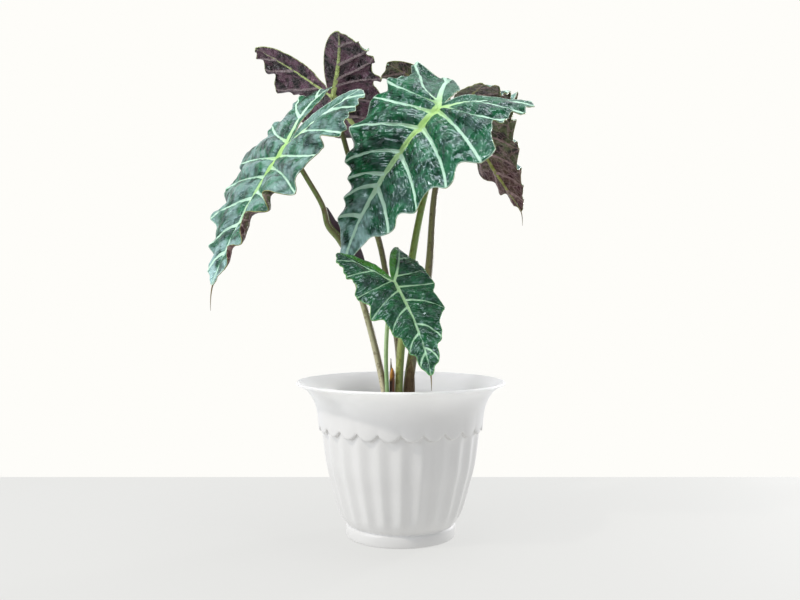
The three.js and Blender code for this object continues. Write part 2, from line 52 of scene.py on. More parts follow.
# %% [markdown]
# ## Small tools
# Colours are picked as sRGB hex values, the way a paint program shows them, but a renderer adds light in
# linear values. So one function turns each hex value to linear. Another adds one shader node with its
# options and its inputs, where an input is either a plain value or another node's output. Every material
# below is built with these two.
#
# Patterns are laid out in the object's own metres, so a pattern's scale is one over its size in metres.
# Where a surface has several colours, they are stacked like coats of paint: a loop adds one Mix node
# after another, and each coat covers what is below it by its own share.

# %% Colour and node helpers
COLOUR = {"data_type": "RGBA"}  # a Mix node for colours: its factor is input 0, its colours are 6 and 7
SMOOTH = {"interpolation_type": "SMOOTHSTEP"}


def linear(hex_code):
    """An sRGB hex colour such as "1d4a35" as linear red, green, blue and alpha."""
    channels = [int(hex_code[i:i + 2], 16) / 255 for i in (0, 2, 4)]
    return [c / 12.92 if c <= 0.04045 else ((c + 0.055) / 1.055) ** 2.4 for c in channels] + [1.0]


def add_node(tree, kind, settings=None, inputs=None):
    """Add a node, set its options, then set or link each input."""
    made = tree.nodes.new(kind)
    for name, value in (settings or {}).items():
        setattr(made, name, value)
    for key, value in (inputs or {}).items():
        if isinstance(value, bpy.types.NodeSocket):
            tree.links.new(value, made.inputs[key])
        else:
            made.inputs[key].default_value = value
    return made


def new_material(name):
    """An empty material, and its node tree to build in."""
    material = bpy.data.materials.new(name)
    material.use_nodes = True
    material.node_tree.nodes.clear()
    return material, material.node_tree


print("sRGB mid grey in linear light:", round(linear("808080")[0], 3))

# %% [markdown]
# ## From numbers to a piece
# All pieces are made from points worked out with numpy. A mesh is then only a list of points and a list
# of faces that name them. The next function makes the Blender object, smooths its shading, puts it on the
# frame's one body and hides the CAD solids that it stands for. It can also store one number per point, such
# as the distance to the nearest vein. A material can read such numbers, so that colour follows shape
# exactly.

# %% Make one piece
def make_piece(name, points, faces, materials, slot, replaced=(), face_materials=None, numbers=None):
    """A smooth-shaded object from points in millimetres."""
    mesh = bpy.data.meshes.new(name)
    mesh.from_pydata((np.asarray(points, float) * MM).tolist(), [], faces)
    for material in materials:
        mesh.materials.append(material)
    if face_materials is not None:
        mesh.polygons.foreach_set("material_index", np.asarray(face_materials, dtype=np.int32))
    for key, values in (numbers or {}).items():
        stored = mesh.attributes.new(key, "FLOAT", "POINT")
        stored.data.foreach_set("value", np.asarray(values, dtype=np.float32))
    mesh.shade_smooth()
    mesh.update()
    piece = bpy.data.objects.new(name, mesh)
    bpy.context.scene.collection.objects.link(piece)
    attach(piece, "root")
    if replaced:
        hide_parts(*replaced)
    print(f"{name}: {len(mesh.vertices)} points, {len(mesh.polygons)} faces")
    return piece


# %% [markdown]
# ## The camera
# The photograph was taken from the front, a little above the planter's rim, from about 0.8 m away. A
# camera is matched by its distance first, because that sets how much the rim opens into an ellipse, and
# by its focal length second. It looks half a degree down, which brings the horizon just above the middle
# of the picture.

# %% Place the camera
IMAGE_WIDTH, FOCAL_PIXELS = 800, 850
SENSOR_WIDTH = 36
CAMERA_PLACE = (-0.7, -819.5, 232.3)
TILT_DOWN = 0.47

camera_data = bpy.data.cameras.new("camera")
camera_data.sensor_width = SENSOR_WIDTH
camera_data.lens = SENSOR_WIDTH * FOCAL_PIXELS / IMAGE_WIDTH
camera = bpy.data.objects.new("camera", camera_data)
camera.location = [v * MM for v in CAMERA_PLACE]
camera.rotation_euler = (math.radians(90 - TILT_DOWN), 0, 0)
bpy.context.scene.collection.objects.link(camera)
bpy.context.scene.camera = camera
print("lens:", round(camera_data.lens, 2), "mm")

# %% [markdown]
# ## The table
# The planter stands on a pale acrylic board that glows by itself, which is how product pictures get such
# faint shadows: the glow is painted light, and no lamp lights the board from below. Most of its brightness
# is its own glow, and a shadow can only take away the rest. The board ends a quarter of a metre behind the
# planter. It is only there to catch the shadow. A little noise in its colour keeps it from looking like
# empty paper.

# %% Make the table
TABLE_BACK, TABLE_FRONT, TABLE_HALF_WIDTH, TABLE_THICKNESS = 252, -1500, 1600, 30
# the strength of the board's own glow, painted light that keeps the shadows on it faint
TABLE_GLOW = 0.955


def self_lit_acrylic():
    """Matt milky acrylic that glows by itself: its emission is painted light that fills in the shadows on
    it.
    """
    material, tree = new_material("self_lit_acrylic")
    place = add_node(tree, "ShaderNodeTexCoord").outputs["Object"]
    mottling = add_node(tree, "ShaderNodeTexNoise", inputs={"Vector": place, "Scale": 4.0, "Detail": 3.0})
    colour = add_node(tree, "ShaderNodeMix", COLOUR, {
        0: mottling.outputs["Fac"], 6: linear("4e4e4c"), 7: linear("50504f")})
    # the emission is painted light: the board glows by itself, and no lamp lights it from below
    shader = add_node(tree, "ShaderNodeBsdfPrincipled", inputs={
        "Base Color": colour.outputs[2], "Roughness": 0.8, "Specular IOR Level": 0.2,
        "Emission Color": linear("d9d9d7"), "Emission Strength": TABLE_GLOW})
    add_node(tree, "ShaderNodeOutputMaterial", inputs={"Surface": shader.outputs[0]})
    return material


table_mesh = bpy.data.meshes.new("table")
table_corners = [(x * MM, y * MM, z * MM) for z in (-TABLE_THICKNESS, 0)
                 for x, y in ((-TABLE_HALF_WIDTH, TABLE_FRONT), (TABLE_HALF_WIDTH, TABLE_FRONT),
                              (TABLE_HALF_WIDTH, TABLE_BACK), (-TABLE_HALF_WIDTH, TABLE_BACK))]
table_mesh.from_pydata(table_corners, [], [(0, 3, 2, 1), (4, 5, 6, 7), (0, 1, 5, 4), (1, 2, 6, 5),
                                           (2, 3, 7, 6), (3, 0, 4, 7)])
table_mesh.materials.append(self_lit_acrylic())
table = bpy.data.objects.new("table", table_mesh)
bpy.context.scene.collection.objects.link(table)
print("table: one board,", TABLE_HALF_WIDTH * 2, "mm wide")

# %% [markdown]
# ## The room
# The picture is bright and soft. A warm white wall fills the background, and the camera's side of the
# room is darker, so the edges of leaves, stalks and planter mirror the wall in thin bright lines. Both
# are drawn by the world: its brightness depends on the direction that a ray looks in, and fades from wall
# to room in between.

# %% Light the room
WALL_COLOUR, ROOM_COLOUR = "fefdf9", "f8faff"
WALL_STRENGTH, ROOM_STRENGTH = 0.95, 0.2
WALL_FADES_FROM, WALL_FADES_TO = 0.5, -0.2  # how far a ray points to the back, as a share of its length


def make_world():
    """A bright wall behind the plant and a dimmer room on the camera's side."""
    world = bpy.data.worlds.new("studio")
    world.use_nodes = True
    tree = world.node_tree
    tree.nodes.clear()
    seen = add_node(tree, "ShaderNodeLightPath").outputs["Is Camera Ray"]
    wall = add_node(tree, "ShaderNodeBackground", inputs={"Color": linear(WALL_COLOUR), "Strength": 1.0})
    direction = add_node(tree, "ShaderNodeSeparateXYZ", inputs={
        0: add_node(tree, "ShaderNodeTexCoord").outputs["Generated"]})
    strength = add_node(tree, "ShaderNodeMapRange", SMOOTH, {
        "Value": direction.outputs["Y"], "From Min": WALL_FADES_TO, "From Max": WALL_FADES_FROM,
        "To Min": ROOM_STRENGTH, "To Max": WALL_STRENGTH})
    room = add_node(tree, "ShaderNodeBackground", inputs={
        "Color": linear(ROOM_COLOUR), "Strength": strength.outputs[0]})
    both = add_node(tree, "ShaderNodeMixShader", inputs={0: seen, 1: room.outputs[0], 2: wall.outputs[0]})
    add_node(tree, "ShaderNodeOutputWorld", inputs={"Surface": both.outputs[0]})
    bpy.context.scene.world = world


make_world()
bpy.context.scene.view_settings.view_transform = "Standard"
print("wall and room:", WALL_STRENGTH, "and", ROOM_STRENGTH)

# %% [markdown]
# ## The lamps
# A small lamp high on the left and a little in front gives the faint shadow to the right. A soft box on
# the left lights the leaf tips, and a large one overhead lights the inside of the planter. Two weak
# boxes, in front and on the right, open up the shaded side, and a small one behind on the right draws the
# line of light on the planter's right edge. Each lamp is a square, and a larger square gives softer
# shadows.

# %% Hang the lamps
LAMPS = {  # place, the point it is turned towards, side of the square (all in millimetres), watts, colour
    "key": ((-1150, -800, 1750), (0, 0, 250), 110, 16, "fffaf2"),
    "overhead": ((100, -100, 1900), (0, 0, 100), 1100, 22, "ffffff"),
    "left_box": ((-1400, -650, 600), (0, 0, 250), 700, 12, "f5f9ff"),
    "front_box": ((620, -1350, 600), (0, 0, 280), 560, 2, "f2f7ff"),
    "right_fill": ((1300, -700, 500), (0, 0, 150), 600, 3, "f8faff"),
    "right_rim": ((1000, 900, 450), (0, 0, 200), 200, 9, "ffffff"),
}
for lamp_name, (place, aim, size, watts, colour) in LAMPS.items():
    lamp_data = bpy.data.lights.new(lamp_name, "AREA")
    lamp_data.size = size * MM
    lamp_data.energy = watts
    lamp_data.color = linear(colour)[:3]
    lamp = bpy.data.objects.new(lamp_name, lamp_data)
    lamp.location = Vector(place) * MM
    lamp.rotation_euler = (Vector(aim) - Vector(place)).to_track_quat("-Z", "Y").to_euler()
    bpy.context.scene.collection.objects.link(lamp)
    print(f"{lamp_name}: {watts} W from a square of {size} mm")

# %% [markdown]
# ## The planter
# The planter is injection-moulded polypropylene. Its wall flares to a wide rim with a thin rounded lip.
# Below the rim a plain collar ends in scallops, and under it the body is fluted: 24 shallow flutes, one
# under each scallop. Such a wall could be modelled by spinning a curve and sculpting the flutes. Here it
# is worked out from a few radii and heights, because then every flute is the same and each size can be
# changed on its own.
#
# Two helpers come first. A smooth curve through a handful of points saves listing dozens of them, and the
# stalks use it too. The faces between rings of points serve every turned or tube-shaped piece.

# %% Curves and rings
STEPS_PER_SPAN = 24


def smooth_path(points, count):
    """Evenly spaced points on a smooth curve through the given ones (centripetal Catmull-Rom)."""
    knots = np.asarray(points, float)
    knots = np.concatenate([[2 * knots[0] - knots[1]], knots, [2 * knots[-1] - knots[-2]]])
    dense = []
    for a, b, c, d in zip(knots, knots[1:], knots[2:], knots[3:]):
        gaps = [max(np.linalg.norm(q - p), 1e-6) ** 0.5 for p, q in ((a, b), (b, c), (c, d))]
        t0, t1, t2, t3 = np.cumsum([0, *gaps])
        t = np.linspace(t1, t2, STEPS_PER_SPAN)[:, None]
        ab, bc, cd = (p + (q - p) * (t - u) / (v - u)
                      for p, q, u, v in ((a, b, t0, t1), (b, c, t1, t2), (c, d, t2, t3)))
        left = ab + (bc - ab) * (t - t0) / (t2 - t0)
        right = bc + (cd - bc) * (t - t1) / (t3 - t1)
        dense.append(left + (right - left) * (t - t1) / (t2 - t1))
    dense = np.concatenate(dense)
    travelled = np.concatenate([[0], np.cumsum(np.linalg.norm(np.diff(dense, axis=0), axis=1))])
    even = np.linspace(0, travelled[-1], count)
    return np.stack([np.interp(even, travelled, dense[:, axis]) for axis in range(dense.shape[1])], axis=1)


def ring_faces(rings, sides, closed=True):
    """Quads between rings of points that follow each other."""
    last = sides if closed else sides - 1
    corners = [(k, (k + 1) % sides) for k in range(last)]
    return [(i * sides + a, i * sides + b, (i + 1) * sides + b, (i + 1) * sides + a)
            for i in range(rings - 1) for a, b in corners]


def end_caps(rings, sides):
    """One flat face over the first ring and one over the last."""
    last = (rings - 1) * sides
    return [tuple(range(sides))[::-1], tuple(range(last, last + sides))]


print("a tube of 3 rings of 8 points has", len(ring_faces(3, 8) + end_caps(3, 8)), "faces")

# %% [markdown]
# The planter's outline is a half section: radius and height of each point, up the outside, over the lip
# and down the inside. Only the body, the collar and the inside are smooth curves. The foot, the collar's
# edge and the lip have corners, so their points are used as they stand.

# %% The planter's sizes
RIM_RADIUS, POT_HEIGHT, FOOT_RADIUS = 100, 148, 52.5
FLOOR_THICKNESS = 2.6
FLOOR_MIDDLE = 20  # the rings stop here, and one flat face closes each side of the floor
FOOT = [(FLOOR_MIDDLE, 0), (38, 0), (FOOT_RADIUS - 2.2, 0), (FOOT_RADIUS - 0.6, 0.5), (FOOT_RADIUS, 1.8),
        (FOOT_RADIUS, 9.4), (FOOT_RADIUS - 0.4, 10.5), (51.2, 11.4), (51, 12.2), (51.6, 13.2)]
BODY = [(53.4, 14.6), (58.4, 22.5), (63.4, 36.6), (67.5, 52), (71.6, 67.5), (73.8, 83), (75.5, 98),
        (76.2, 107)]
COLLAR_EDGE = [(76.7, 107.4), (77.8, 107.2), (78.5, 107.9), (78.8, 109.2)]
COLLAR = [(79.1, 112), (80.2, 120), (82.4, 127.4), (85.8, 134.3), (90.2, 139.9), (95.5, 143.9), (99, 145.4)]
LIP = [(RIM_RADIUS, 146.1), (RIM_RADIUS, 147.1), (99.3, 147.8), (98, POT_HEIGHT), (96.5, 147.5)]
INSIDE = [(92.6, 145), (88, 141.7), (84.4, 136.9), (80.4, 127.9), (77, 116), (73.4, 100), (69.8, 70),
          (64.6, 50), (55, 21.5), (48, 8), (44, 4), (38, FLOOR_THICKNESS), (FLOOR_MIDDLE, FLOOR_THICKNESS)]
BODY_STEPS, COLLAR_STEPS, INSIDE_STEPS = 40, 26, 44
print("planter:", 2 * RIM_RADIUS, "mm wide and", POT_HEIGHT, "mm tall")

# %% [markdown]
# A turned shape alone can't be fluted. So the outline is turned in fine steps, and in the body each ring
# is pulled in between the ribs. The pull fades in above the foot. The scallops are made in the same way,
# but up and down: the rings near the collar's edge are moved down between the ribs, where they hang
# lowest.

# %% Turn and flute it
FLUTES, STEPS_PER_FLUTE, FLUTE_DEPTH, FLUTE_FADE = 24, 14, 1.9, 12
HOLLOW_POWER, SCALLOP_POWER = 1.6, 0.8  # over 1 a flute is narrow at its bottom, under 1 a scallop is round
SCALLOP_DROP, CUSP_ROUNDING = 7, 0.15
CUSP_HEIGHT = 108  # the height of the collar's edge at the ribs, where two scallops meet
BODY_MOVES_FROM, COLLAR_MOVES_TO = 70, 125  # heights between which the rings follow the scallops
BODY_MOVE_POWER, COLLAR_MOVE_POWER = 3, 1.5  # the higher, the closer to the edge the moving starts


def planter_points():
    """Rings of points: out over the underside, up the outside, over the lip and down the inside."""
    body = smooth_path(BODY, BODY_STEPS)
    collar = smooth_path(COLLAR, COLLAR_STEPS)
    inside = smooth_path(INSIDE[:-1], INSIDE_STEPS)
    outline = np.concatenate([FOOT, body, COLLAR_EDGE, collar, LIP, inside, [INSIDE[-1]]])
    first_body = len(FOOT)
    first_edge = first_body + len(body)
    first_lip = first_edge + len(COLLAR_EDGE) + len(collar)
    angle = np.arange(FLUTES * STEPS_PER_FLUTE) * 2 * np.pi / (FLUTES * STEPS_PER_FLUTE)
    arch = np.abs(np.sin(angle * FLUTES / 2))  # 0 on the ribs, 1 in the middle of a flute
    drop = SCALLOP_DROP * (np.hypot(arch ** SCALLOP_POWER, CUSP_ROUNDING) - CUSP_ROUNDING)
    body_top = BODY[-1][1]
    rings = []
    for i, (radius, height) in enumerate(outline):
        radii, heights = np.full_like(angle, radius), np.full_like(angle, height)
        if first_body <= i < first_edge:
            radii -= FLUTE_DEPTH * arch ** HOLLOW_POWER * np.clip((height - BODY[0][1]) / FLUTE_FADE, 0, 1)
            share = np.clip((height - BODY_MOVES_FROM) / (body_top - BODY_MOVES_FROM), 0, 1)
            heights -= drop * share ** BODY_MOVE_POWER
        elif first_edge <= i < first_lip:
            share = np.clip((COLLAR_MOVES_TO - height) / (COLLAR_MOVES_TO - CUSP_HEIGHT), 0, 1)
            heights -= drop * share ** COLLAR_MOVE_POWER
        rings.append(np.stack([radii * np.sin(angle), -radii * np.cos(angle), heights], axis=1))
    return np.concatenate(rings), len(outline), len(angle)


pot_points, pot_rings, pot_sides = planter_points()
pot_faces = ring_faces(pot_rings, pot_sides) + end_caps(pot_rings, pot_sides)
print("planter:", pot_rings, "rings of", pot_sides, "points")

# %% [markdown]
# The plastic itself is white polypropylene with a semi-gloss mould finish. Polypropylene's IOR is 1.49.
# The eye sees a soft highlight that breaks up slightly, because a moulded wall is never quite even: it
# sinks a little as it cools, which is a bump about 15 mm wide and too shallow to measure. A fine mould
# texture softens the gloss.
#
# The wall is thin enough for light to pass through it where it stands free above the soil, so the collar
# and the inside of the rim glow a little. Lower down the soil blocks that light. So the share of light
# that goes into the plastic grows with height, from none at the soil to all of it under the rim.

# %% White moulded plastic
LIT_FROM, LIT_FULLY = 112, 146  # heights between which the light starts to pass through the wall


def moulded_polypropylene():
    """White, semi-gloss and slightly uneven, and lit from within where the wall stands free."""
    material, tree = new_material("moulded_polypropylene")
    place = add_node(tree, "ShaderNodeTexCoord").outputs["Object"]
    sink = add_node(tree, "ShaderNodeTexNoise", inputs={"Vector": place, "Scale": 1 / 0.015, "Detail": 1.0})
    grain = add_node(tree, "ShaderNodeTexNoise", inputs={
        "Vector": place, "Scale": 1 / 0.0006, "Detail": 2.0})
    dust = add_node(tree, "ShaderNodeTexNoise", inputs={"Vector": place, "Scale": 1 / 0.03, "Detail": 5.0})
    colour = add_node(tree, "ShaderNodeMix", COLOUR, {
        0: dust.outputs["Fac"], 6: linear("dddcda"), 7: linear("e2e1df")})
    gloss = add_node(tree, "ShaderNodeMapRange", inputs={
        "Value": dust.outputs["Fac"], "From Min": 0.3, "From Max": 0.7, "To Min": 0.3, "To Max": 0.4})
    height = add_node(tree, "ShaderNodeSeparateXYZ", inputs={0: place}).outputs["Z"]
    thin = add_node(tree, "ShaderNodeMapRange", SMOOTH, {
        "Value": height, "From Min": LIT_FROM * MM, "From Max": LIT_FULLY * MM})
    wavy = add_node(tree, "ShaderNodeBump", inputs={
        "Height": sink.outputs["Fac"], "Strength": 0.25, "Distance": 0.0006})
    fine = add_node(tree, "ShaderNodeBump", inputs={
        "Height": grain.outputs["Fac"], "Strength": 0.15, "Distance": 0.00005, "Normal": wavy.outputs[0]})
    shader = add_node(tree, "ShaderNodeBsdfPrincipled", inputs={
        "Base Color": colour.outputs[2], "Roughness": gloss.outputs[0], "IOR": 1.49,
        "Normal": fine.outputs[0], "Subsurface Weight": thin.outputs[0], "Subsurface Scale": 0.012,
        "Subsurface Radius": (1, 1, 1)})
    add_node(tree, "ShaderNodeOutputMaterial", inputs={"Surface": shader.outputs[0]})
    return material


pot = make_piece("fluted_planter", pot_points, pot_faces, [moulded_polypropylene()], "pot_plastic", ["pot"])

# %% [markdown]
# A planter for live plants drains through its floor. The holes are cut with a Boolean modifier, the way
# they would be drilled, and the modifier is applied so that the mesh itself is finished.

# %% Drill the drain holes
DRAIN_HOLES, DRAIN_HOLE_RADIUS, DRAIN_CIRCLE_RADIUS = 6, 4, 30
BIT_SIDES = 24


def drill(piece, places, radius, depth):
    """Cut round holes along Z through a piece, centred on the given points."""
    angle = np.arange(BIT_SIDES) * 2 * np.pi / BIT_SIDES
    points, faces = [], []
    for x, y, z in places:
        bit = ring_faces(2, BIT_SIDES) + end_caps(2, BIT_SIDES)
        faces += [tuple(len(points) + i for i in face) for face in bit]
        points += [(x + radius * np.cos(a), y + radius * np.sin(a), z + h)
                   for h in (-depth, depth) for a in angle]
    bits = bpy.data.meshes.new("bits")
    bits.from_pydata((np.array(points) * MM).tolist(), [], faces)
    cutter = bpy.data.objects.new("bits", bits)
    bpy.context.scene.collection.objects.link(cutter)
    cut = piece.modifiers.new("drill", "BOOLEAN")
    cut.object, cut.operation, cut.solver = cutter, "DIFFERENCE", "EXACT"
    finished = bpy.data.meshes.new_from_object(piece.evaluated_get(bpy.context.evaluated_depsgraph_get()))
    piece.modifiers.clear()
    piece.data = finished
    bpy.data.objects.remove(cutter)


drain_turns = [2 * math.pi * i / DRAIN_HOLES for i in range(DRAIN_HOLES)]
drain_places = [(DRAIN_CIRCLE_RADIUS * math.cos(turn), DRAIN_CIRCLE_RADIUS * math.sin(turn), 0)
                for turn in drain_turns]
drill(pot, drain_places, DRAIN_HOLE_RADIUS, 2 * FLOOR_THICKNESS)
print("planter after drilling:", len(pot.data.polygons), "faces")

# %% [markdown]
# ## Potting soil
# Potting soil is peat with grains of white perlite and chips of bark in it. Its top is a fine disc of
# points moved up and down by noise at three sizes: hollows, clods and crumbs. Real crumbs could be
# scattered instead, but soil is seen from a distance here, and noise gives the same broken light with far
# fewer faces.

# %% Fill the planter
SOIL_TOP = [(75.6, 111), (70, 113), (64, 113.4), (50, 112.8), (36, 114.2), (24, 114), (12, 114.5),
            (3, 114.5)]
SOIL_WALL = [(8, 3), (39, 3.2), (46.5, 8.4), (53.6, 21.5), (63.4, 50), (68.8, 70), (72.6, 100)]
SOIL_SIDES, SOIL_WALL_RINGS, SOIL_TOP_RINGS = 200, 14, 70
SOIL_LUMPS = ((22, 1.6), (7, 1.3), (2.6, 0.8))  # width and height of the hollows, clods and crumbs


def soil_height(x, y):
    """How far the soil stands above its mean at a place."""
    return sum(height * noise.noise(Vector((x, y, 0)) / size) for size, height in SOIL_LUMPS)


def soil_points():
    """Rings up the inside of the planter's wall and then in over the uneven top."""
    wall = smooth_path(SOIL_WALL, SOIL_WALL_RINGS)
    top = smooth_path(SOIL_TOP, SOIL_TOP_RINGS)
    angle = np.arange(SOIL_SIDES) * 2 * np.pi / SOIL_SIDES
    points = []
    for i, (radius, height) in enumerate(np.concatenate([wall, top])):
        for x, y in zip(radius * np.sin(angle), -radius * np.cos(angle)):
            points.append((x, y, height + (soil_height(x, y) if i >= len(wall) else 0)))
    return points, len(wall) + len(top)


soil_place, soil_rings = soil_points()
soil_faces = ring_faces(soil_rings, SOIL_SIDES) + end_caps(soil_rings, SOIL_SIDES)
print("soil:", soil_rings, "rings of", SOIL_SIDES, "points")

# %% [markdown]
# Peat is matt and nearly black when damp, and its dry crumbs are paler. Its fibres are about 1 mm apart.
# It has almost no shine, so its specular level is low and its roughness close to one.

# %% Peat
def peat():
    """Matt and dark, with paler dry crumbs about 8 mm apart and a fibrous surface."""
    material, tree = new_material("peat")
    place = add_node(tree, "ShaderNodeTexCoord").outputs["Object"]
    clods = add_node(tree, "ShaderNodeTexNoise", inputs={
        "Vector": place, "Scale": 1 / 0.008, "Detail": 6.0})
    fibre = add_node(tree, "ShaderNodeTexNoise", inputs={
        "Vector": place, "Scale": 1 / 0.0012, "Detail": 3.0})
    dry = add_node(tree, "ShaderNodeMapRange", SMOOTH, {
        "Value": clods.outputs["Fac"], "From Min": 0.35, "From Max": 0.7})
    colour = add_node(tree, "ShaderNodeMix", COLOUR, {
        0: dry.outputs[0], 6: linear("2a1e16"), 7: linear("5a4433")})
    rough = add_node(tree, "ShaderNodeBump", inputs={
        "Height": fibre.outputs["Fac"], "Strength": 0.9, "Distance": 0.0006})
    shader = add_node(tree, "ShaderNodeBsdfPrincipled", inputs={
        "Base Color": colour.outputs[2], "Roughness": 0.95, "Specular IOR Level": 0.2,
        "Normal": rough.outputs[0]})
    add_node(tree, "ShaderNodeOutputMaterial", inputs={"Surface": shader.outputs[0]})
    return material


make_piece("soil_fill", soil_place, soil_faces, [peat()], "potting_soil", ["soil"])

# %% [markdown]
# Perlite is volcanic glass that was puffed up by heat: white, matt, crumbly lumps of 2 to 4 mm. Bark
# chips are flatter and red-brown. Both are made from the same ball of points, pushed about by noise, and
# only their size, flatness and material differ. Each grain is sunk nearly halfway into the top of the
# soil. A fixed seed makes the same draw each time.

# %% Scatter grains
GRAIN_SIDES, GRAIN_RINGS = 8, 6
GRAIN_WOBBLE, GRAIN_LUMPS = 0.45, 1.7  # how strong and how close together the lumps of a grain are
GRAIN_TIP, GRAIN_WIDTHS = 0.5, (0.6, 0.95)  # tipped by radians; widths as shares of the length
SCATTER_RADIUS = 72
BARE_MIDDLE = 0.09  # the share of the disc's area that stays bare round the rhizome
GRAIN_RISE = 0.12  # how far a grain's middle lies above the soil, as a share of its height
draw = np.random.default_rng(7)


def grain(centre, size, flatness):
    """One irregular lump: points and faces."""
    latitude = (np.arange(GRAIN_RINGS) + 0.5) / GRAIN_RINGS * np.pi - np.pi / 2
    angle = np.arange(GRAIN_SIDES) * 2 * np.pi / GRAIN_SIDES
    ball = np.array([(np.cos(b) * np.cos(a), np.cos(b) * np.sin(a), np.sin(b))
                     for b in latitude for a in angle])
    wobble = [1 + GRAIN_WOBBLE * noise.noise(Vector(p) * GRAIN_LUMPS + Vector(centre)) for p in ball]
    turn, tip = draw.uniform(0, 2 * np.pi), draw.uniform(-GRAIN_TIP, GRAIN_TIP)
    ball *= np.array(wobble)[:, None] * np.array([1, draw.uniform(*GRAIN_WIDTHS), flatness]) * size / 2
    x, y, z = ball.T
    x, z = x * np.cos(tip) - z * np.sin(tip), x * np.sin(tip) + z * np.cos(tip)
    x, y = x * np.cos(turn) - y * np.sin(turn), x * np.sin(turn) + y * np.cos(turn)
    faces = ring_faces(GRAIN_RINGS, GRAIN_SIDES) + end_caps(GRAIN_RINGS, GRAIN_SIDES)
    return np.stack([x, y, z], axis=1) + centre, faces


def scatter(count, sizes, flatness):
    """Many grains on the soil between the rhizome and the wall, as one list of points and faces."""
    all_points, all_faces = [], []
    top_radii, top_heights = zip(*SOIL_TOP[::-1])
    for _ in range(count):
        radius = SCATTER_RADIUS * draw.uniform(BARE_MIDDLE, 1) ** 0.5
        turn = draw.uniform(0, 2 * np.pi)
        x, y = radius * np.cos(turn), radius * np.sin(turn)
        size = draw.uniform(*sizes)
        height = np.interp(radius, top_radii, top_heights) + soil_height(x, y)
        height += GRAIN_RISE * size * flatness
        points, faces = grain((x, y, height), size, flatness)
        all_faces += [tuple(i + len(all_points) for i in face) for face in faces]
        all_points += points.tolist()
    return all_points, all_faces


GRAINS = {  # how many, the smallest and the largest size in millimetres, and the flatness
    "perlite": (260, (1.6, 4), 0.8),
    "bark": (150, (3, 8), 0.3),
}
grains = {kind: scatter(*values) for kind, values in GRAINS.items()}
print("grains:", {kind: count for kind, (count, _, _) in GRAINS.items()})

# %% [markdown]
# Perlite, bark, the rhizome's cork and a dried leaf tip look alike in one way: they are matt and crumbly,
# in two tones of one colour. So one recipe serves them all, with the size of the crumbs as its third
# value. The eye sees no highlight on them, only small pits.

# %% Crumbly surfaces
def crumbly(name, dark, light, crumb):
    """A matt, pitted surface in two tones, with crumbs of the given size in metres."""
    material, tree = new_material(name)
    place = add_node(tree, "ShaderNodeTexCoord").outputs["Object"]
    crumbs = add_node(tree, "ShaderNodeTexNoise", inputs={
        "Vector": place, "Scale": 1 / crumb, "Detail": 4.0})
    colour = add_node(tree, "ShaderNodeMix", COLOUR, {
        0: crumbs.outputs["Fac"], 6: linear(dark), 7: linear(light)})
    pitted = add_node(tree, "ShaderNodeBump", inputs={
        "Height": crumbs.outputs["Fac"], "Strength": 0.8, "Distance": 0.0003})
    shader = add_node(tree, "ShaderNodeBsdfPrincipled", inputs={
        "Base Color": colour.outputs[2], "Roughness": 0.9, "Specular IOR Level": 0.25,
        "Normal": pitted.outputs[0]})
    add_node(tree, "ShaderNodeOutputMaterial", inputs={"Surface": shader.outputs[0]})
    return material


make_piece("perlite", *grains["perlite"], [crumbly("perlite", "b9b4a8", "f1efe8", 0.0008)], "potting_soil")
make_piece("bark_chips", *grains["bark"], [crumbly("bark", "3a2416", "7c5434", 0.0016)], "potting_soil")

# %% [markdown]
# ## The rhizome
# The leaves grow from a short, thick, upright stem, called a rhizome. Old leaves leave ring-shaped scars
# on it. It is a turned shape with a shallow groove every few millimetres and noise over it. Only its top
# stands out of the soil, but it is made whole, down to where its roots would start.

# %% Grow the rhizome
RHIZOME_CENTRE = (-1.5, -0.5)
RHIZOME_OUTLINE = [(2, 72.3), (9, 73), (15, 79), (17.5, 90), (18, 106), (16.5, 116), (12.5, 121.5),
                   (5, 123.4), (1, 123.8)]
RHIZOME_SIDES, RHIZOME_RINGS = 72, 90
SCAR_SPACING, SCAR_DEPTH, SMOOTH_END = 4.2, 0.7, 6
RHIZOME_BUMPS, BUMPS_ROUND, BUMP_LENGTH = 1.1, 2.2, 9  # height, how close together round it, and length
RHIZOME_INSET = 1.2  # keeps scars and bumps inside the outline


def rhizome_points():
    """Rings from the bottom to the top, with scars and bumps that fade towards both ends."""
    angle = np.arange(RHIZOME_SIDES) * 2 * np.pi / RHIZOME_SIDES
    points = []
    for radius, height in smooth_path(RHIZOME_OUTLINE, RHIZOME_RINGS):
        fade = min(radius / SMOOTH_END, 1)
        scar = SCAR_DEPTH * abs(math.sin(math.pi * height / SCAR_SPACING)) ** 0.5 * fade
        for x, y in zip(np.cos(angle), np.sin(angle)):
            place = Vector((x * BUMPS_ROUND, y * BUMPS_ROUND, height / BUMP_LENGTH))
            r = radius - RHIZOME_INSET + scar + RHIZOME_BUMPS * noise.noise(place) * fade
            points.append((RHIZOME_CENTRE[0] + r * x, RHIZOME_CENTRE[1] + r * y, height))
    return points


rhizome_faces = ring_faces(RHIZOME_RINGS, RHIZOME_SIDES) + end_caps(RHIZOME_RINGS, RHIZOME_SIDES)
cork = crumbly("rhizome_cork", "33231a", "8a6444", 0.0022)
make_piece("rhizome_stem", rhizome_points(), rhizome_faces, [cork], "rhizome_skin", ["rhizome"])

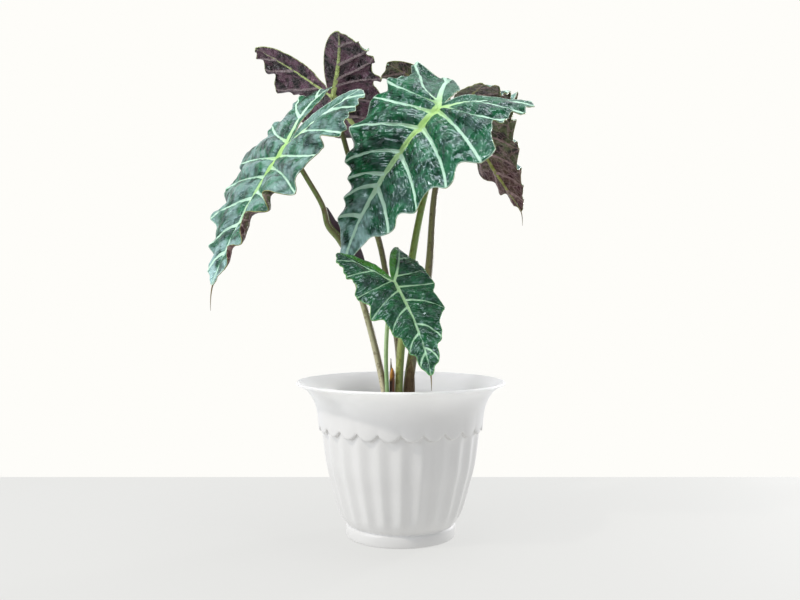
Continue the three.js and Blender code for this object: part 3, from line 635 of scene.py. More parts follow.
# %% [markdown]
# ## The shape of a leaf blade
# A blade is a curved sheet hung on its ribs. The midrib runs from the stalk to the tip and two more ribs
# run back into the hind lobes. Side veins leave them and end in the teeth of the edge. So each point of a
# blade has two simple numbers: s, how far along the ribs (-1 at a hind lobe's tip, 0 at the stalk, 1 at
# the leaf's tip), and t, how far out along a side vein (0 on the rib, 1 on the edge).
#
# A blade could be sculpted by hand, but then its veins would have to be drawn on it afterwards. With s
# and t the outline, the folds, the veins and the colours all come from the same few values and fit each
# other.
#
# The next five cells hold those values. "stalk" lists points on the stalk's path, and "radii" its
# thickness at the foot and at the top. The midrib starts at the stalk's end with a bearing, a pitch and a
# roll in degrees, and on its way to the tip it droops, swerves and twists by so many degrees more.
#
# Each half of the blade has its own values. "width" and "lobe" are shares of the midrib's length.
# "spread", "lean", the folds, "lift", "arch", "tuck" and "edge_roll" are angles in degrees: how far the
# lobe's rib spreads, how far the veins lean forward, how the half is folded at the stalk, at the tip and
# at the lobe's tip, how its lobe is lifted and arched, and how its inner and outer edges are turned.
# "tooth", "wave" and "curl" are shares of the half's width. "veins" lists where each side vein starts,
# where it ends and how far it reaches compared with a plain arrow outline. "plain" lists lines that shape
# the outline in the same way where there is no vein, and "hollow" names one gap between veins where the
# sheet sinks instead of puffing up.

# %% [markdown]
# ### The front leaf
# The largest leaf hangs in front with its upper face to the camera. Its tip points down and aside, one
# hind lobe stands up at the back, and the other points away, so narrow from here that its two veins
# almost touch. In one lobe a gap between veins sinks instead of puffing up, which makes a sharp fold
# there.

# %% The front leaf
LEAVES = {}
LEAVES["front"] = {
    "stalk": [(-1.2, -5, 102), (-1.8, -4.4, 140), (1, -1.5, 187), (11, 2, 266), (20, 2, 314),
              (33, -6, 365), (39, -22, 391), (34.5, -35, 401)],
    "radii": (4, 3), "bearing": -162, "pitch": -45, "roll": 36, "midrib": 168, "droop": 26,
    "swerve": -37, "twist": 32,
    "halves": [
        {"width": 0.39, "lobe": 0.47, "spread": 37, "lean": -1, "fold": 5, "fold_tip": 17,
         "fold_lobe": 26, "lift": -47, "arch": -7, "tuck": 1, "tooth": 0.08, "wave": -0.07,
         "curl": 0.09, "hollow": 1,
         "veins": [(-0.78, -0.88, 0.42), (-0.14, -0.69, 1.55), (-0.08, -0.16, 1.11),
                   (0.03, 0.01, 1.25), (0.15, 0.17, 1.2), (0.32, 0.35, 1.05), (0.47, 0.45, 0.86),
                   (0.54, 0.56, 0.82), (0.73, 0.67, 0.88)],
         "plain": [(-0.3, -0.75, 0.45), (-0.11, -0.42, 0.98), (0.86, 0.86, 0.8)]},
        {"width": 0.4, "lobe": 0.51, "spread": 38, "lean": -4, "fold": 9, "fold_tip": -12,
         "fold_lobe": 18, "lift": -47, "arch": 11, "tuck": 4, "tooth": 0.12, "wave": 0.08,
         "curl": 0.06,
         "veins": [(-0.75, -0.85, 1.0), (-0.4, -0.58, 1.0), (-0.06, -0.3, 1.02), (0.01, 0.04, 1.34),
                   (0.14, 0.18, 1.3), (0.33, 0.34, 1.2), (0.55, 0.56, 1.05)],
         "plain": [(0.66, 0.68, 0.92), (0.76, 0.78, 0.86), (0.88, 0.88, 0.78)]},
    ],
}
print("front:", LEAVES["front"]["midrib"], "mm from stalk to tip")

# %% [markdown]
# ### The left leaf
# The second leaf hangs to the left, steeper and narrower, with both lobes towards the camera's right. The
# lower edge of its right half is rolled under between the veins, so the underside shows there in dark
# patches.

# %% The left leaf
LEAVES["left"] = {
    "stalk": [(-11, -2, 102), (-16, -3, 140), (-27.5, -4, 192), (-36, -6, 223), (-47.5, -8, 262),
              (-58.8, -9, 283), (-69.2, -10, 296), (-73.8, -12, 314), (-87.7, -15, 339),
              (-102, -20, 362), (-108, -24, 368)],
    "radii": (3.6, 2.3), "bearing": -173, "pitch": -56, "roll": 21, "midrib": 145, "droop": 13,
    "swerve": 16, "twist": -13,
    "halves": [
        {"width": 0.46, "lobe": 0.66, "spread": 26, "lean": 6, "fold": 4, "fold_tip": 23,
         "fold_lobe": 7, "lift": -7, "arch": -27, "tuck": 3, "tooth": 0.14, "wave": -0.1,
         "curl": 0.07,
         "veins": [(-0.75, -0.85, 1.0), (-0.41, -0.58, 1.13), (-0.07, -0.18, 1.06),
                   (0.09, 0.08, 1.55), (0.23, 0.21, 1.43), (0.39, 0.42, 1.19), (0.58, 0.63, 0.99),
                   (0.78, 0.84, 0.93)]},
        {"width": 0.46, "lobe": 0.64, "spread": 34, "lean": 13, "fold": -2, "fold_tip": 10,
         "fold_lobe": -13, "lift": -3, "arch": -9, "tuck": 7, "tooth": 0.06, "wave": 0.1,
         "curl": 0.05, "edge_roll": 150,
         "veins": [(-0.8, -0.86, 1.0), (-0.62, -0.6, 1.0), (-0.25, -0.21, 1.13), (0.07, 0.02, 1.1),
                   (0.16, 0.19, 1.2), (0.34, 0.34, 1.15), (0.55, 0.57, 1.15), (0.75, 0.78, 1.05)]},
    ],
}
print("left:", LEAVES["left"]["midrib"], "mm from stalk to tip")

# %% [markdown]
# ### The back left leaf
# The third leaf faces away. Its stalk is the tallest, both lobes stand up beside it and the camera sees
# only the purple underside. The tip hangs down at the back and is hidden.

# %% The back left leaf
LEAVES["back_left"] = {
    "stalk": [(-2, 8, 102), (-1.7, 10, 139), (-2.6, 14, 176), (-15.7, 28, 257), (-22.8, 34, 288),
              (-51.9, 50, 368), (-58.3, 55, 390), (-71, 68, 437)],
    "radii": (3.1, 2.6), "bearing": 52, "pitch": -37, "roll": -1, "midrib": 162, "droop": -14,
    "swerve": 17, "twist": -27,
    "halves": [
        {"width": 0.37, "lobe": 0.57, "spread": 38, "lean": -12, "fold": 24, "fold_tip": 22,
         "fold_lobe": 0, "lift": -3, "arch": -16, "tuck": 10, "tooth": 0.2, "wave": 0.18,
         "curl": 0.09,
         "veins": [(-0.75, -0.86, 1.15), (-0.46, -0.68, 1.15), (-0.25, -0.51, 1.0),
                   (-0.15, -0.23, 0.92), (0.03, 0.05, 0.9), (0.18, 0.21, 0.9), (0.36, 0.39, 0.96),
                   (0.55, 0.59, 1.0), (0.75, 0.79, 1.0)]},
        {"width": 0.37, "lobe": 0.57, "spread": 37, "lean": -15, "fold": 11, "fold_tip": 31,
         "fold_lobe": 4, "lift": 3, "arch": -15, "tuck": 17, "tooth": 0.18, "wave": 0.16,
         "curl": 0.09,
         "veins": [(-0.75, -0.88, 0.92), (-0.53, -0.69, 0.92), (-0.18, -0.43, 1.0),
                   (0.02, 0.03, 1.05), (0.16, 0.19, 1.04), (0.34, 0.37, 1.0), (0.53, 0.56, 0.98),
                   (0.73, 0.77, 1.0)]},
    ],
}
print("back_left:", LEAVES["back_left"]["midrib"], "mm from stalk to tip")

# %% [markdown]
# ### The back right leaf
# The fourth leaf also faces away, behind the front one. It droops to the right, and its tip hangs free
# below the front leaf's lobe. Its edge is the most ruffled of all.

# %% The back right leaf
LEAVES["back_right"] = {
    "stalk": [(5.5, 1, 102), (7.2, 2.5, 139), (11, 7, 168), (27.2, 28, 250), (34.9, 45, 335),
              (50, 60, 399), (59, 68, 421)],
    "radii": (5.2, 2.6), "bearing": 62, "pitch": -28, "roll": -3, "midrib": 161, "droop": 15,
    "swerve": -22, "twist": 5,
    "halves": [
        {"width": 0.37, "lobe": 0.54, "spread": 39, "lean": -13, "fold": 9, "fold_tip": 30,
         "fold_lobe": 8, "lift": -33, "arch": 5, "tuck": -5, "tooth": 0.07, "wave": -0.25,
         "curl": 0.08,
         "veins": [(-0.78, -0.87, 1.0), (-0.45, -0.6, 1.0), (-0.14, -0.28, 1.0), (0.03, 0.05, 1.0),
                   (0.22, 0.29, 1.0), (0.42, 0.5, 1.0), (0.62, 0.68, 0.97), (0.82, 0.86, 0.96)]},
        {"width": 0.37, "lobe": 0.55, "spread": 38, "lean": -25, "fold": 19, "fold_tip": 26,
         "fold_lobe": -8, "lift": 12, "arch": -17, "tuck": 27, "tooth": 0.2, "wave": 0.1,
         "curl": 0.07,
         "veins": [(-0.78, -0.87, 1.3), (-0.5, -0.62, 0.92), (-0.18, -0.3, 1.05), (0.02, 0.05, 1.0),
                   (0.2, 0.27, 1.0), (0.4, 0.46, 1.05), (0.6, 0.66, 1.03), (0.8, 0.85, 0.97)]},
    ],
}
print("back_right:", LEAVES["back_right"]["midrib"], "mm from stalk to tip")

# %% [markdown]
# ### The young leaf
# The last leaf is the youngest: small, low, in front of the stalks, and turned a little to the right. Its
# lobes are still narrow and its teeth fine.

# %% The young leaf
LEAVES["young"] = {
    "stalk": [(-12, -9.5, 102), (-13, -13, 141), (-13.9, -18, 169), (-12.8, -28, 198),
              (-9, -43, 229), (-6, -52, 241)],
    "radii": (2, 1.8), "bearing": -45, "pitch": -49, "roll": -11, "midrib": 102, "droop": 1,
    "swerve": -33, "twist": -7,
    "halves": [
        {"width": 0.38, "lobe": 0.57, "spread": 37, "lean": -9, "fold": 3, "fold_tip": 23,
         "fold_lobe": 18, "lift": -15, "arch": -7, "tuck": 13, "tooth": 0.08, "wave": 0.1,
         "curl": 0.1,
         "veins": [(-0.7, -0.78, 0.98), (-0.38, -0.41, 0.95), (-0.04, -0.06, 1.1),
                   (0.09, 0.13, 1.18), (0.28, 0.33, 0.98), (0.57, 0.6, 0.88), (0.78, 0.82, 0.95)]},
        {"width": 0.37, "lobe": 0.56, "spread": 35, "lean": -6, "fold": 16, "fold_tip": 27,
         "fold_lobe": -19, "lift": -8, "arch": -5, "tuck": 11, "tooth": 0.15, "wave": 0.12,
         "curl": 0.06,
         "veins": [(-0.6, -0.7, 1.0), (-0.14, -0.3, 0.97), (0.05, 0.02, 1.02), (0.2, 0.22, 1.04),
                   (0.46, 0.53, 0.93), (0.72, 0.78, 0.94)]},
    ],
}
print("young:", LEAVES["young"]["midrib"], "mm from stalk to tip")

# %% [markdown]
# ## Directions on a blade
# At each s the blade has three directions: along the midrib, across it, and out of its upper face. They
# turn with the midrib. Each half is then folded up a little from the midrib, like an open book, and its
# hind lobe is lifted about the first side vein. Working with directions first, and only then with
# lengths, keeps every sheet smooth.

# %% Small vector tools
def stack(x, y, z):
    """Points from their three coordinates."""
    return np.stack(np.broadcast_arrays(x, y, z), axis=-1)


def column(values):
    """Numbers as a column, so that each one multiplies a whole point or row."""
    return np.asarray(values, float)[..., None]


def turned(vectors, axis, angle):
    """Vectors turned about unit axes by angles in radians."""
    c, s = column(np.cos(angle)), column(np.sin(angle))
    lengthwise = np.sum(axis * vectors, -1, keepdims=True) * axis
    return vectors * c + np.cross(axis, vectors) * s + lengthwise * (1 - c)


print("x turned a quarter round z:", turned(np.eye(3)[0], np.eye(3)[2], np.pi / 2).round(3))

# %% [markdown]
# The midrib's directions come from its bearing, pitch and roll, which change evenly on the way to the
# tip. A side vein's angle to its rib is steepest at the stalk. Towards the leaf's tip the veins lean
# forward, and towards a lobe's tip they open a little.

# %% Directions along the ribs
FIRST_VEIN_ANGLE, LOBE_VEINS_OPEN, TIP_VEINS_LEAN, LEAN_POWER = 84, 22, 44, 0.6
LOBE_SPREAD_AT_STALK, LOBE_SPREAD_LOSS = 1.15, 0.3  # shares of the half's spread


def spine_frames(leaf, share):
    """Along, across and out of the blade at shares of the midrib."""
    bearing = np.radians(leaf["bearing"] + leaf["swerve"] * share)
    pitch = np.radians(leaf["pitch"] - leaf["droop"] * share)
    roll = np.radians(leaf["roll"] + leaf["twist"] * share)
    along = stack(np.cos(pitch) * np.cos(bearing), np.cos(pitch) * np.sin(bearing), np.sin(pitch))
    level = stack(np.sin(bearing), -np.cos(bearing), 0 * bearing)
    up = np.cross(level, along)
    across = level * column(np.cos(roll)) + up * column(np.sin(roll))
    return along, across, up * column(np.cos(roll)) - level * column(np.sin(roll))


def vein_angle(half, s):
    """The angle of a side vein to its rib, in radians."""
    turn = np.where(s < 0, LOBE_VEINS_OPEN * s, TIP_VEINS_LEAN * np.maximum(s, 0) ** LEAN_POWER)
    return np.radians(half["lean"] + FIRST_VEIN_ANGLE - turn)


def half_frames(leaf, half, side, s):
    """The same three directions in one half: folded at the midrib, and lifted in the hind lobe."""
    along, across, normal = spine_frames(leaf, np.maximum(s, 0))
    across = across * side
    fold, angle = np.radians(half["fold"]), vein_angle(half, 0.0)
    hinge = (across * np.cos(fold) + normal * np.sin(fold)) * np.sin(angle) + along * np.cos(angle)
    back = np.maximum(-s, 0)
    lift = -side * np.radians(half["lift"] * back * (2 - back) + half["arch"] * back ** 2)
    along, across, normal = (turned(v, hinge, lift) for v in (along, across, normal))
    end = np.where(s < 0, half["fold_lobe"], half["fold_tip"])
    fold = column(np.radians(half["fold"] + (end - half["fold"]) * np.abs(s)))
    folded = across * np.cos(fold) + normal * np.sin(fold)
    return along, folded, normal * np.cos(fold) - across * np.sin(fold)


def lobe_rib(half, along, across, s):
    """The direction of a hind lobe's rib, which spreads away from the midrib's line."""
    spread = column(np.radians(half["spread"] * (LOBE_SPREAD_AT_STALK + LOBE_SPREAD_LOSS * s)))
    return across * np.sin(spread) - along * np.cos(spread)


upward = spine_frames(LEAVES["front"], np.zeros(1))[2][0]
print("the front leaf's upper face looks towards", upward.round(2))

# %% [markdown]
# The ribs themselves are found by walking out from the stalk in small steps, each in the direction of its
# place. So a rib has exactly its own length, however much it bends.

# %% Walk along the ribs
SPINE_STEPS = 128


def rib_points(leaf, half, side, s):
    """Points on the midrib (s over 0) and on the lobe's rib (s under 0)."""
    middles = (np.arange(SPINE_STEPS) + 0.5) / SPINE_STEPS
    along, _, _ = half_frames(leaf, half, side, middles)
    forward = np.cumsum(along * leaf["midrib"] / SPINE_STEPS, axis=0)
    along, across, _ = half_frames(leaf, half, side, -middles)
    step = lobe_rib(half, along, across, -middles) * leaf["midrib"] * half["lobe"] / SPINE_STEPS
    walk = np.concatenate([np.cumsum(step, axis=0)[::-1], [[0, 0, 0]], forward]) + leaf["stalk"][-1]
    shares = np.linspace(-1, 1, 2 * SPINE_STEPS + 1)
    return stack(*(np.interp(s, shares, walk[:, axis]) for axis in range(3)))


front = LEAVES["front"]
print("the front leaf's tip is at", rib_points(front, front["halves"][0], 1, np.ones(1))[0].round(1))

# %% [markdown]
# ## The outline
# The plain outline of each half is a curve that closes at the lobe's tip and at the leaf's tip. Each vein
# then reaches a little more or less than that, and the reach changes smoothly from one vein to the next.
# A vein leaves its rib squarely and turns towards its end further out, and those in the middle of the
# blade bow a little.

# %% Outline and veins
LOBE_SHOULDER, LOBE_ROUNDING, LOBE_TAPER = 1.6, 0.75, 0.12
TIP_ROUNDING, TIP_FULLNESS = 0.8, 0.42
VEIN_BEND, VEIN_BOW = 1.5, 0.022
BOW_FADE = 5  # a vein's bow fades within a fifth of the midrib from the stalk and from the tip


def eased(x, stations, values):
    """A value between stations, with smooth turns at each."""
    stations, values = np.asarray(stations), np.asarray(values)
    i = np.clip(np.searchsorted(stations, x) - 1, 0, len(stations) - 2)
    share = np.clip((x - stations[i]) / (stations[i + 1] - stations[i]), 0, 1)
    return values[i] + (values[i + 1] - values[i]) * share * share * (3 - 2 * share)


def half_width(leaf, half, s):
    """How far the edge lies from the rib, in millimetres."""
    back, forward = np.clip(-s, 0, 1), np.clip(s, 0, 1)
    outline = np.where(s < 0, (1 - back ** LOBE_SHOULDER) ** LOBE_ROUNDING * (1 - LOBE_TAPER * back),
                       (1 - forward) ** TIP_ROUNDING * (1 + TIP_FULLNESS * forward))
    lines = sorted(half["veins"] + half.get("plain", []))
    ends, reaches = [-1, *(line[1] for line in lines), 1], [1, *(line[2] for line in lines), 1]
    return half["width"] * leaf["midrib"] * outline * eased(s, ends, reaches)


def vein_line(start, end, t):
    """The s of a side vein at t."""
    bow = 4 * VEIN_BOW * np.clip(BOW_FADE * start, 0, 1) * np.clip(BOW_FADE - BOW_FADE * start, 0, 1)
    return start + (end - start) * t ** VEIN_BEND - bow * t * (1 - t)


for leaf_name, leaf in LEAVES.items():
    widest = sum(half_width(leaf, half, np.zeros(1))[0] for half in leaf["halves"])
    print(f"{leaf_name}: {widest:.0f} mm wide at the stalk")

# %% [markdown]
# ## Teeth and relief
# Between two side veins the edge draws in just behind the first vein's tooth and swells again towards the
# next. The sheet between them puffs up like quilting, and near the edge it waves. The edge of the left
# leaf is rolled under as well: there the sheet leaves its plane along an arc.

# %% Teeth and relief
QUILT_HEIGHT, QUILT_POWER = 0.08, 0.8  # the height is a share of the half's width
TOOTH_SKEW, TOOTH_ROUNDING = 0.75, 2
RAGGEDNESS, RAGGED_WAVES = 0.03, (31, 19)  # two waves along the edge that never repeat together
ROLL_START = 0.78  # a rolled edge starts here on its way out
ROLL_AT_VEINS = 0.35  # the edge rolls less where a vein stiffens it


def between_veins(half, s, t):
    """How far a point is from one side vein (0) to the next (1), the same with its middle nearer the stalk,
    and 1 where the sheet puffs up between them or -1 where it sinks."""
    share, skewed, lift = np.empty_like(s), np.empty_like(s), np.empty_like(s)
    stalk_gap = sum(end < 0 for _, end, _ in half["veins"])  # the gap that the stalk lies in
    for k in range(s.shape[1]):
        lines = [-1, *(vein_line(start, end, t[0, k]) for start, end, _ in half["veins"]), 1]
        place = np.interp(s[:, k], lines, np.arange(len(lines)))
        share[:, k] = np.where(s[:, k] < 0, 1 - place % 1, place % 1)
        skewed[:, k] = np.where(place // 1 == stalk_gap, share[:, k], share[:, k] ** TOOTH_SKEW)
        lift[:, k] = np.where(place // 1 == half.get("hollow"), -1, 1)
    return share, skewed, lift


def outer_sheet(leaf, half, side, s, t):
    """Points of the blade outside its ribs, before the veins' own relief."""
    along, across, normal = half_frames(leaf, half, side, s)
    angle, width = column(vein_angle(half, s)), half_width(leaf, half, s)
    share, skewed, lift = between_veins(half, s, t)
    puff = np.abs(np.sin(np.pi * share))
    # raggedness differs between halves and between leaves, and dies out at the tips
    ragged = (np.sin(RAGGED_WAVES[0] * s + 5 * side) * np.sin(RAGGED_WAVES[1] * s + leaf["midrib"])
              * np.clip(4 - 4 * np.abs(s), 0, 1))
    tooth = half["tooth"] * np.abs(np.sin(np.pi * skewed)) ** TOOTH_ROUNDING + RAGGEDNESS * ragged
    rim = np.clip((t - ROLL_START) / (1 - ROLL_START), 0, 1) * (1 - ROLL_START)
    middle = np.clip(8 * s - 1.5, 0, 1) * np.clip(6 - 7 * s, 0, 1)  # 1 from s = 0.31 to 0.71
    roll = np.radians(half.get("edge_roll", 0)) * middle * rim / (1 - ROLL_START)
    roll *= ROLL_AT_VEINS + (1 - ROLL_AT_VEINS) * puff ** 2
    quilting = QUILT_HEIGHT * lift * puff * np.sin(np.pi * t ** QUILT_POWER)
    wave = half["wave"] * (puff ** 2 - 0.5 + 0.5 * ragged) * t ** 3
    rolled_up = rim * roll / 2 * np.sinc(roll / 2 / np.pi) ** 2
    height = (quilting + wave - half["curl"] * t * t + rolled_up) * width
    reach = width * (t * (1 - tooth * t ** 3) + rim * (np.sinc(roll / np.pi) - 1))
    return (rib_points(leaf, half, side, s) + normal * column(height)
            + column(reach) * (across * np.sin(angle) + along * np.cos(angle)))


edge = outer_sheet(front, front["halves"][0], 1, np.linspace(0, 1, 60)[:, None], np.ones((60, 1)))[:, 0]
edge_length = np.linalg.norm(np.diff(edge, axis=0), axis=1).sum()
print(f"one edge of the front leaf is {edge_length:.0f} mm long from beside the stalk to the tip")

# %% [markdown]
# Behind the stalk each hind lobe also has an inner part, between its rib and the open gap. It has no side
# veins, only a soft ripple. Its lines start across the gap and turn along the rib towards the lobe's tip.

# %% The inner part of a lobe
SINUS_SHARE, INNER_WIDENING = 0.06, 0.1  # how far the blade reaches into the gap, as shares of the midrib
INNER_TURN, INNER_RIPPLE, INNER_WAVES = 136, 0.05, 9


def inner_sheet(leaf, half, side, s, t):
    """Points between a hind lobe's rib and the gap behind the stalk."""
    along, across, normal = half_frames(leaf, half, side, s)
    back = -s
    angle = column(np.radians(half["spread"] * back ** 2 - INNER_TURN * back * (1 - back)))
    tuck = -side * np.radians(half["tuck"]) * np.abs(np.sin(np.pi * back)) ** 0.7
    out = turned(across * np.sin(angle) - along * np.cos(angle), lobe_rib(half, along, across, s), tuck)
    width = leaf["midrib"] * (SINUS_SHARE + INNER_WIDENING * back ** 0.7)
    width = width * np.clip(1 - back ** 3, 0, 1) ** 0.8
    ripple = INNER_RIPPLE * width * np.sin(INNER_WAVES * back) * t ** 2
    return rib_points(leaf, half, side, s) + out * column(width * t) + normal * column(ripple)


gap_edge = inner_sheet(front, front["halves"][0], 1, np.full((1, 1), -0.5), np.ones((1, 1)))[0, 0]
print("halfway back, the gap's edge is at", gap_edge.round(1))

# %% [markdown]
# ## A mesh that follows the veins
# If the rows of a mesh cross the veins at random, a thin raised vein comes out as a row of beads. So here
# the rows run along the veins, with extra rows close beside them. On the midrib both halves must share
# their points, so each row starts from the mean of the two halves' veins and bends to its own vein within
# the midrib's width.

# %% Rows and columns
STEPS_PER_VEIN, COLUMN_COUNT, INNER_COLUMN_COUNT = 18, 44, 14
RIB_SHARE = 0.04  # within this share of the width a row bends from the shared midrib point to its own vein
COLUMNS = np.linspace(0, 1, COLUMN_COUNT) ** 1.3
INNER_COLUMNS = np.linspace(0, 1, INNER_COLUMN_COUNT) ** 1.2
CROWDED = (1 - np.cos(np.pi * np.arange(STEPS_PER_VEIN) / STEPS_PER_VEIN)) / 2


def vein_rows(half, forward):
    """Start and end of each row of one half, ahead of the stalk or behind it, crowded beside the veins."""
    lines = sorted(half["veins"] + half.get("plain", []))
    veins = [(start, end) for start, end, _ in lines if (start > 0) == forward]
    bounds = np.array([(0, 0), *veins, (1, 1)] if forward else [(-1, -1), *veins, (0, 0)], float)
    steps = [low + (high - low) * share for low, high in zip(bounds, bounds[1:]) for share in CROWDED]
    return np.array([*steps, bounds[-1]])


def row_ends(leaf, index, forward):
    """The s at which each row starts on the shared rib and on its own, and at which it ends on the edge."""
    own = vein_rows(leaf["halves"][index], forward)
    other = vein_rows(leaf["halves"][1 - index], forward) if forward else own
    return (own[:, 0] + other[:, 0]) / 2, own[:, 0], own[:, 1]


def sheet_grid(leaf, index, forward):
    """s and t of each mesh point of one half, ahead of the stalk or behind it."""
    shared, start, end = (column(v) for v in row_ends(leaf, index, forward))
    t = np.broadcast_to(COLUMNS, (len(start), COLUMN_COUNT))
    return vein_line(start, end, t) + (shared - start) * np.clip(1 - t / RIB_SHARE, 0, 1), t


print("rows ahead of the front leaf's stalk:", len(row_ends(front, 0, True)[0]))

# %% [markdown]
# ## Relief
# The distance from each point to the nearest vein is measured in space and kept with the point, less the
# vein's own half-width, so it is below zero on a vein. The materials read it, and so does the relief: a
# slight ridge over every vein on the upper face, and on the underside a strong keel under the midrib and
# low ridges under the rest. Small bumps from noise finish the relief. They give the blade its many small
# bright reflections.

# %% Distances and bumps
BUMP_SIZES = ((10, 0.8), (5.5, 0.8))  # width and height of the small bumps, in millimetres


def small_bumps(points):
    """Height of the noise bumps at each point."""
    return np.array([sum(height * noise.noise(Vector(p) / size) for size, height in BUMP_SIZES)
                     for p in points])


def distance_to_line(points, line, widths):
    """Distance from points to a line, less the line's half-width there, and how far along it they are."""
    best, where = np.full(len(points), np.inf), np.zeros(len(points))
    for k, (start, step) in enumerate(zip(line, np.diff(line, axis=0))):
        share = np.clip((points - start) @ step / max(step @ step, 1e-9), 0, 1)
        gap = np.linalg.norm(points - start - share[:, None] * step, axis=1)
        gap -= widths[k] + (widths[k + 1] - widths[k]) * share
        closer = gap < best
        best[closer], where[closer] = gap[closer], ((k + share) / (len(line) - 1))[closer]
    return best, where


bumps = small_bumps(rib_points(front, front["halves"][0], 1, np.linspace(-1, 1, 50)))
print(f"on the front leaf's ribs the bumps reach from {bumps.min():.1f} to {bumps.max():.1f} mm")

# %% [markdown]
# Every rib and vein is a line of points, with its own width and height that shrink on the way out. The
# widths are given for a leaf with a midrib of 160 mm. Small leaves have much finer veins, so the widths
# shrink faster than the leaf. The age of a vein is how far it is from the stalk: the materials turn its
# colour with it.

# %% The lines of a blade
RIB_WIDTHS, LOBE_WIDTHS, VEIN_WIDTHS = (4.8, 3.3, 1.1), (3.2, 2.4, 1), (2.4, 2, 1)
WIDTH_STATIONS = (0, 0.25, 1)  # half-widths are given at the stalk, a quarter of the way out and at the end
USUAL_MIDRIB, VEIN_SHRINKING = 160, 1.6
KEEL_HEIGHT, VEIN_KEEL_HEIGHT, KEEL_LOSS = 2.2, 0.5, 0.75
LINE_POINTS = 40
LOBE_RIB_AGE, VEIN_AGE = 0.2, 0.25  # what their ages start from; the midrib's starts from 0


def blade_lines(leaf):
    """Every rib and vein of a blade: its points, and at each its half-width, its keel's height, its age and
    whether it is a rib (1) or a side vein (0)."""
    share = np.linspace(0, 1, LINE_POINTS)
    shrinking = (leaf["midrib"] / USUAL_MIDRIB) ** VEIN_SHRINKING
    found = []
    for side, half in zip((1, -1), leaf["halves"]):
        if side > 0:
            found.append((rib_points(leaf, half, side, share), RIB_WIDTHS, KEEL_HEIGHT, share, 1))
        lobe_rib_points = rib_points(leaf, half, side, -share)
        found.append((lobe_rib_points, LOBE_WIDTHS, KEEL_HEIGHT / 2, share + LOBE_RIB_AGE, 1))
        for start, end, _ in half["veins"]:
            s = vein_line(start, end, share)[None, :]
            points = outer_sheet(leaf, half, side, s, share[None, :])[0]
            found.append((points, VEIN_WIDTHS, VEIN_KEEL_HEIGHT, VEIN_AGE + abs(start) + share, 0))
    return [(points, np.interp(share, WIDTH_STATIONS, widths) * shrinking, keel * (1 - KEEL_LOSS * share),
             age, 0 * share + is_rib) for points, widths, keel, age, is_rib in found]


print("lines of the front leaf:", len(blade_lines(front)))

# %% [markdown]
# ## Sheets into blades
# The grids of both halves are put together, and points that fall on each other are merged, so the midrib
# and the stalk have no seam. The faces have to turn the same way everywhere, so the grids of one side are
# flipped.

# %% Merge the sheets
MERGE_STEP = 0.001
INNER_PLACES = -0.4  # in a lobe's inner part "across" counts below zero, so that materials can tell it


def merged(points, faces):
    """Which points to keep so that none repeats, and the faces that name the kept ones."""
    keys = np.round(points / MERGE_STEP).astype(np.int64)
    _, kept, place = np.unique(keys, axis=0, return_index=True, return_inverse=True)
    rings = (tuple(dict.fromkeys(place.ravel()[list(face)].tolist())) for face in faces)
    return kept, [ring for ring in rings if len(ring) > 2]


def blade_sheet(leaf):
    """The middle sheet of a blade: points, faces, and how far along and across each point is, in mm."""
    points, faces, places, first = [], [], [], 0
    for index, (side, half) in enumerate(zip((1, -1), leaf["halves"])):
        inner = np.broadcast_arrays(column(row_ends(leaf, index, False)[0]), INNER_COLUMNS)
        for sheet, (s, t), flip in ((outer_sheet, sheet_grid(leaf, index, True), side < 0),
                                    (outer_sheet, sheet_grid(leaf, index, False), side < 0),
                                    (inner_sheet, inner, side > 0)):
            rows, columns = s.shape
            points.append(sheet(leaf, half, side, s, t).reshape(-1, 3))
            width = half_width(leaf, half, s) * (1 if sheet is outer_sheet else INNER_PLACES)
            places.append(np.stack([s * leaf["midrib"], t * width], axis=-1).reshape(-1, 2))
            quads = [tuple(first + i for i in face) for face in ring_faces(rows, columns, closed=False)]
            faces += [face[::-1] if flip else face for face in quads]
            first += rows * columns
    points, places = np.concatenate(points), np.concatenate(places)
    kept, faces = merged(points, faces)
    return points[kept], faces, places[kept]


print("the front leaf's sheet:", len(blade_sheet(front)[0]), "points")

# %% [markdown]
# A sheet becomes a body by moving one copy of it up and one down along its normals and closing the rim
# with a strip. Blender's Solidify modifier does the same with an even thickness, but here the keels make
# it uneven. The blade is 0.7 mm thick, close to a living leaf.

# %% Give it two faces
BLADE_THICKNESS, VEIN_RELIEF = 0.7, 0.25


def point_normals(points, faces):
    """The mean outward direction of the faces round each point."""
    padded = np.array([face if len(face) == 4 else (*face, face[0]) for face in faces])
    corners = points[padded]
    facing = np.cross(corners[:, 2] - corners[:, 0], corners[:, 3] - corners[:, 1])
    total = np.zeros_like(points)
    for k in range(4):
        np.add.at(total, padded[:, k], facing)
    return total / np.maximum(np.linalg.norm(total, axis=1, keepdims=True), 1e-12)


def open_edges(faces):
    """Edges that only one face uses, in the direction that face runs."""
    edges = {(face[i - 1], face[i]) for face in faces for i in range(len(face))}
    return [(a, b) for a, b in edges if (b, a) not in edges]


def closed_skin(faces, count):
    """Faces of the upper copy of a sheet, of its lower copy and of the strip that joins their rims."""
    strip = [(b, a, a + count, b + count) for a, b in open_edges(faces)]
    return faces + [tuple(i + count for i in face[::-1]) for face in faces] + strip


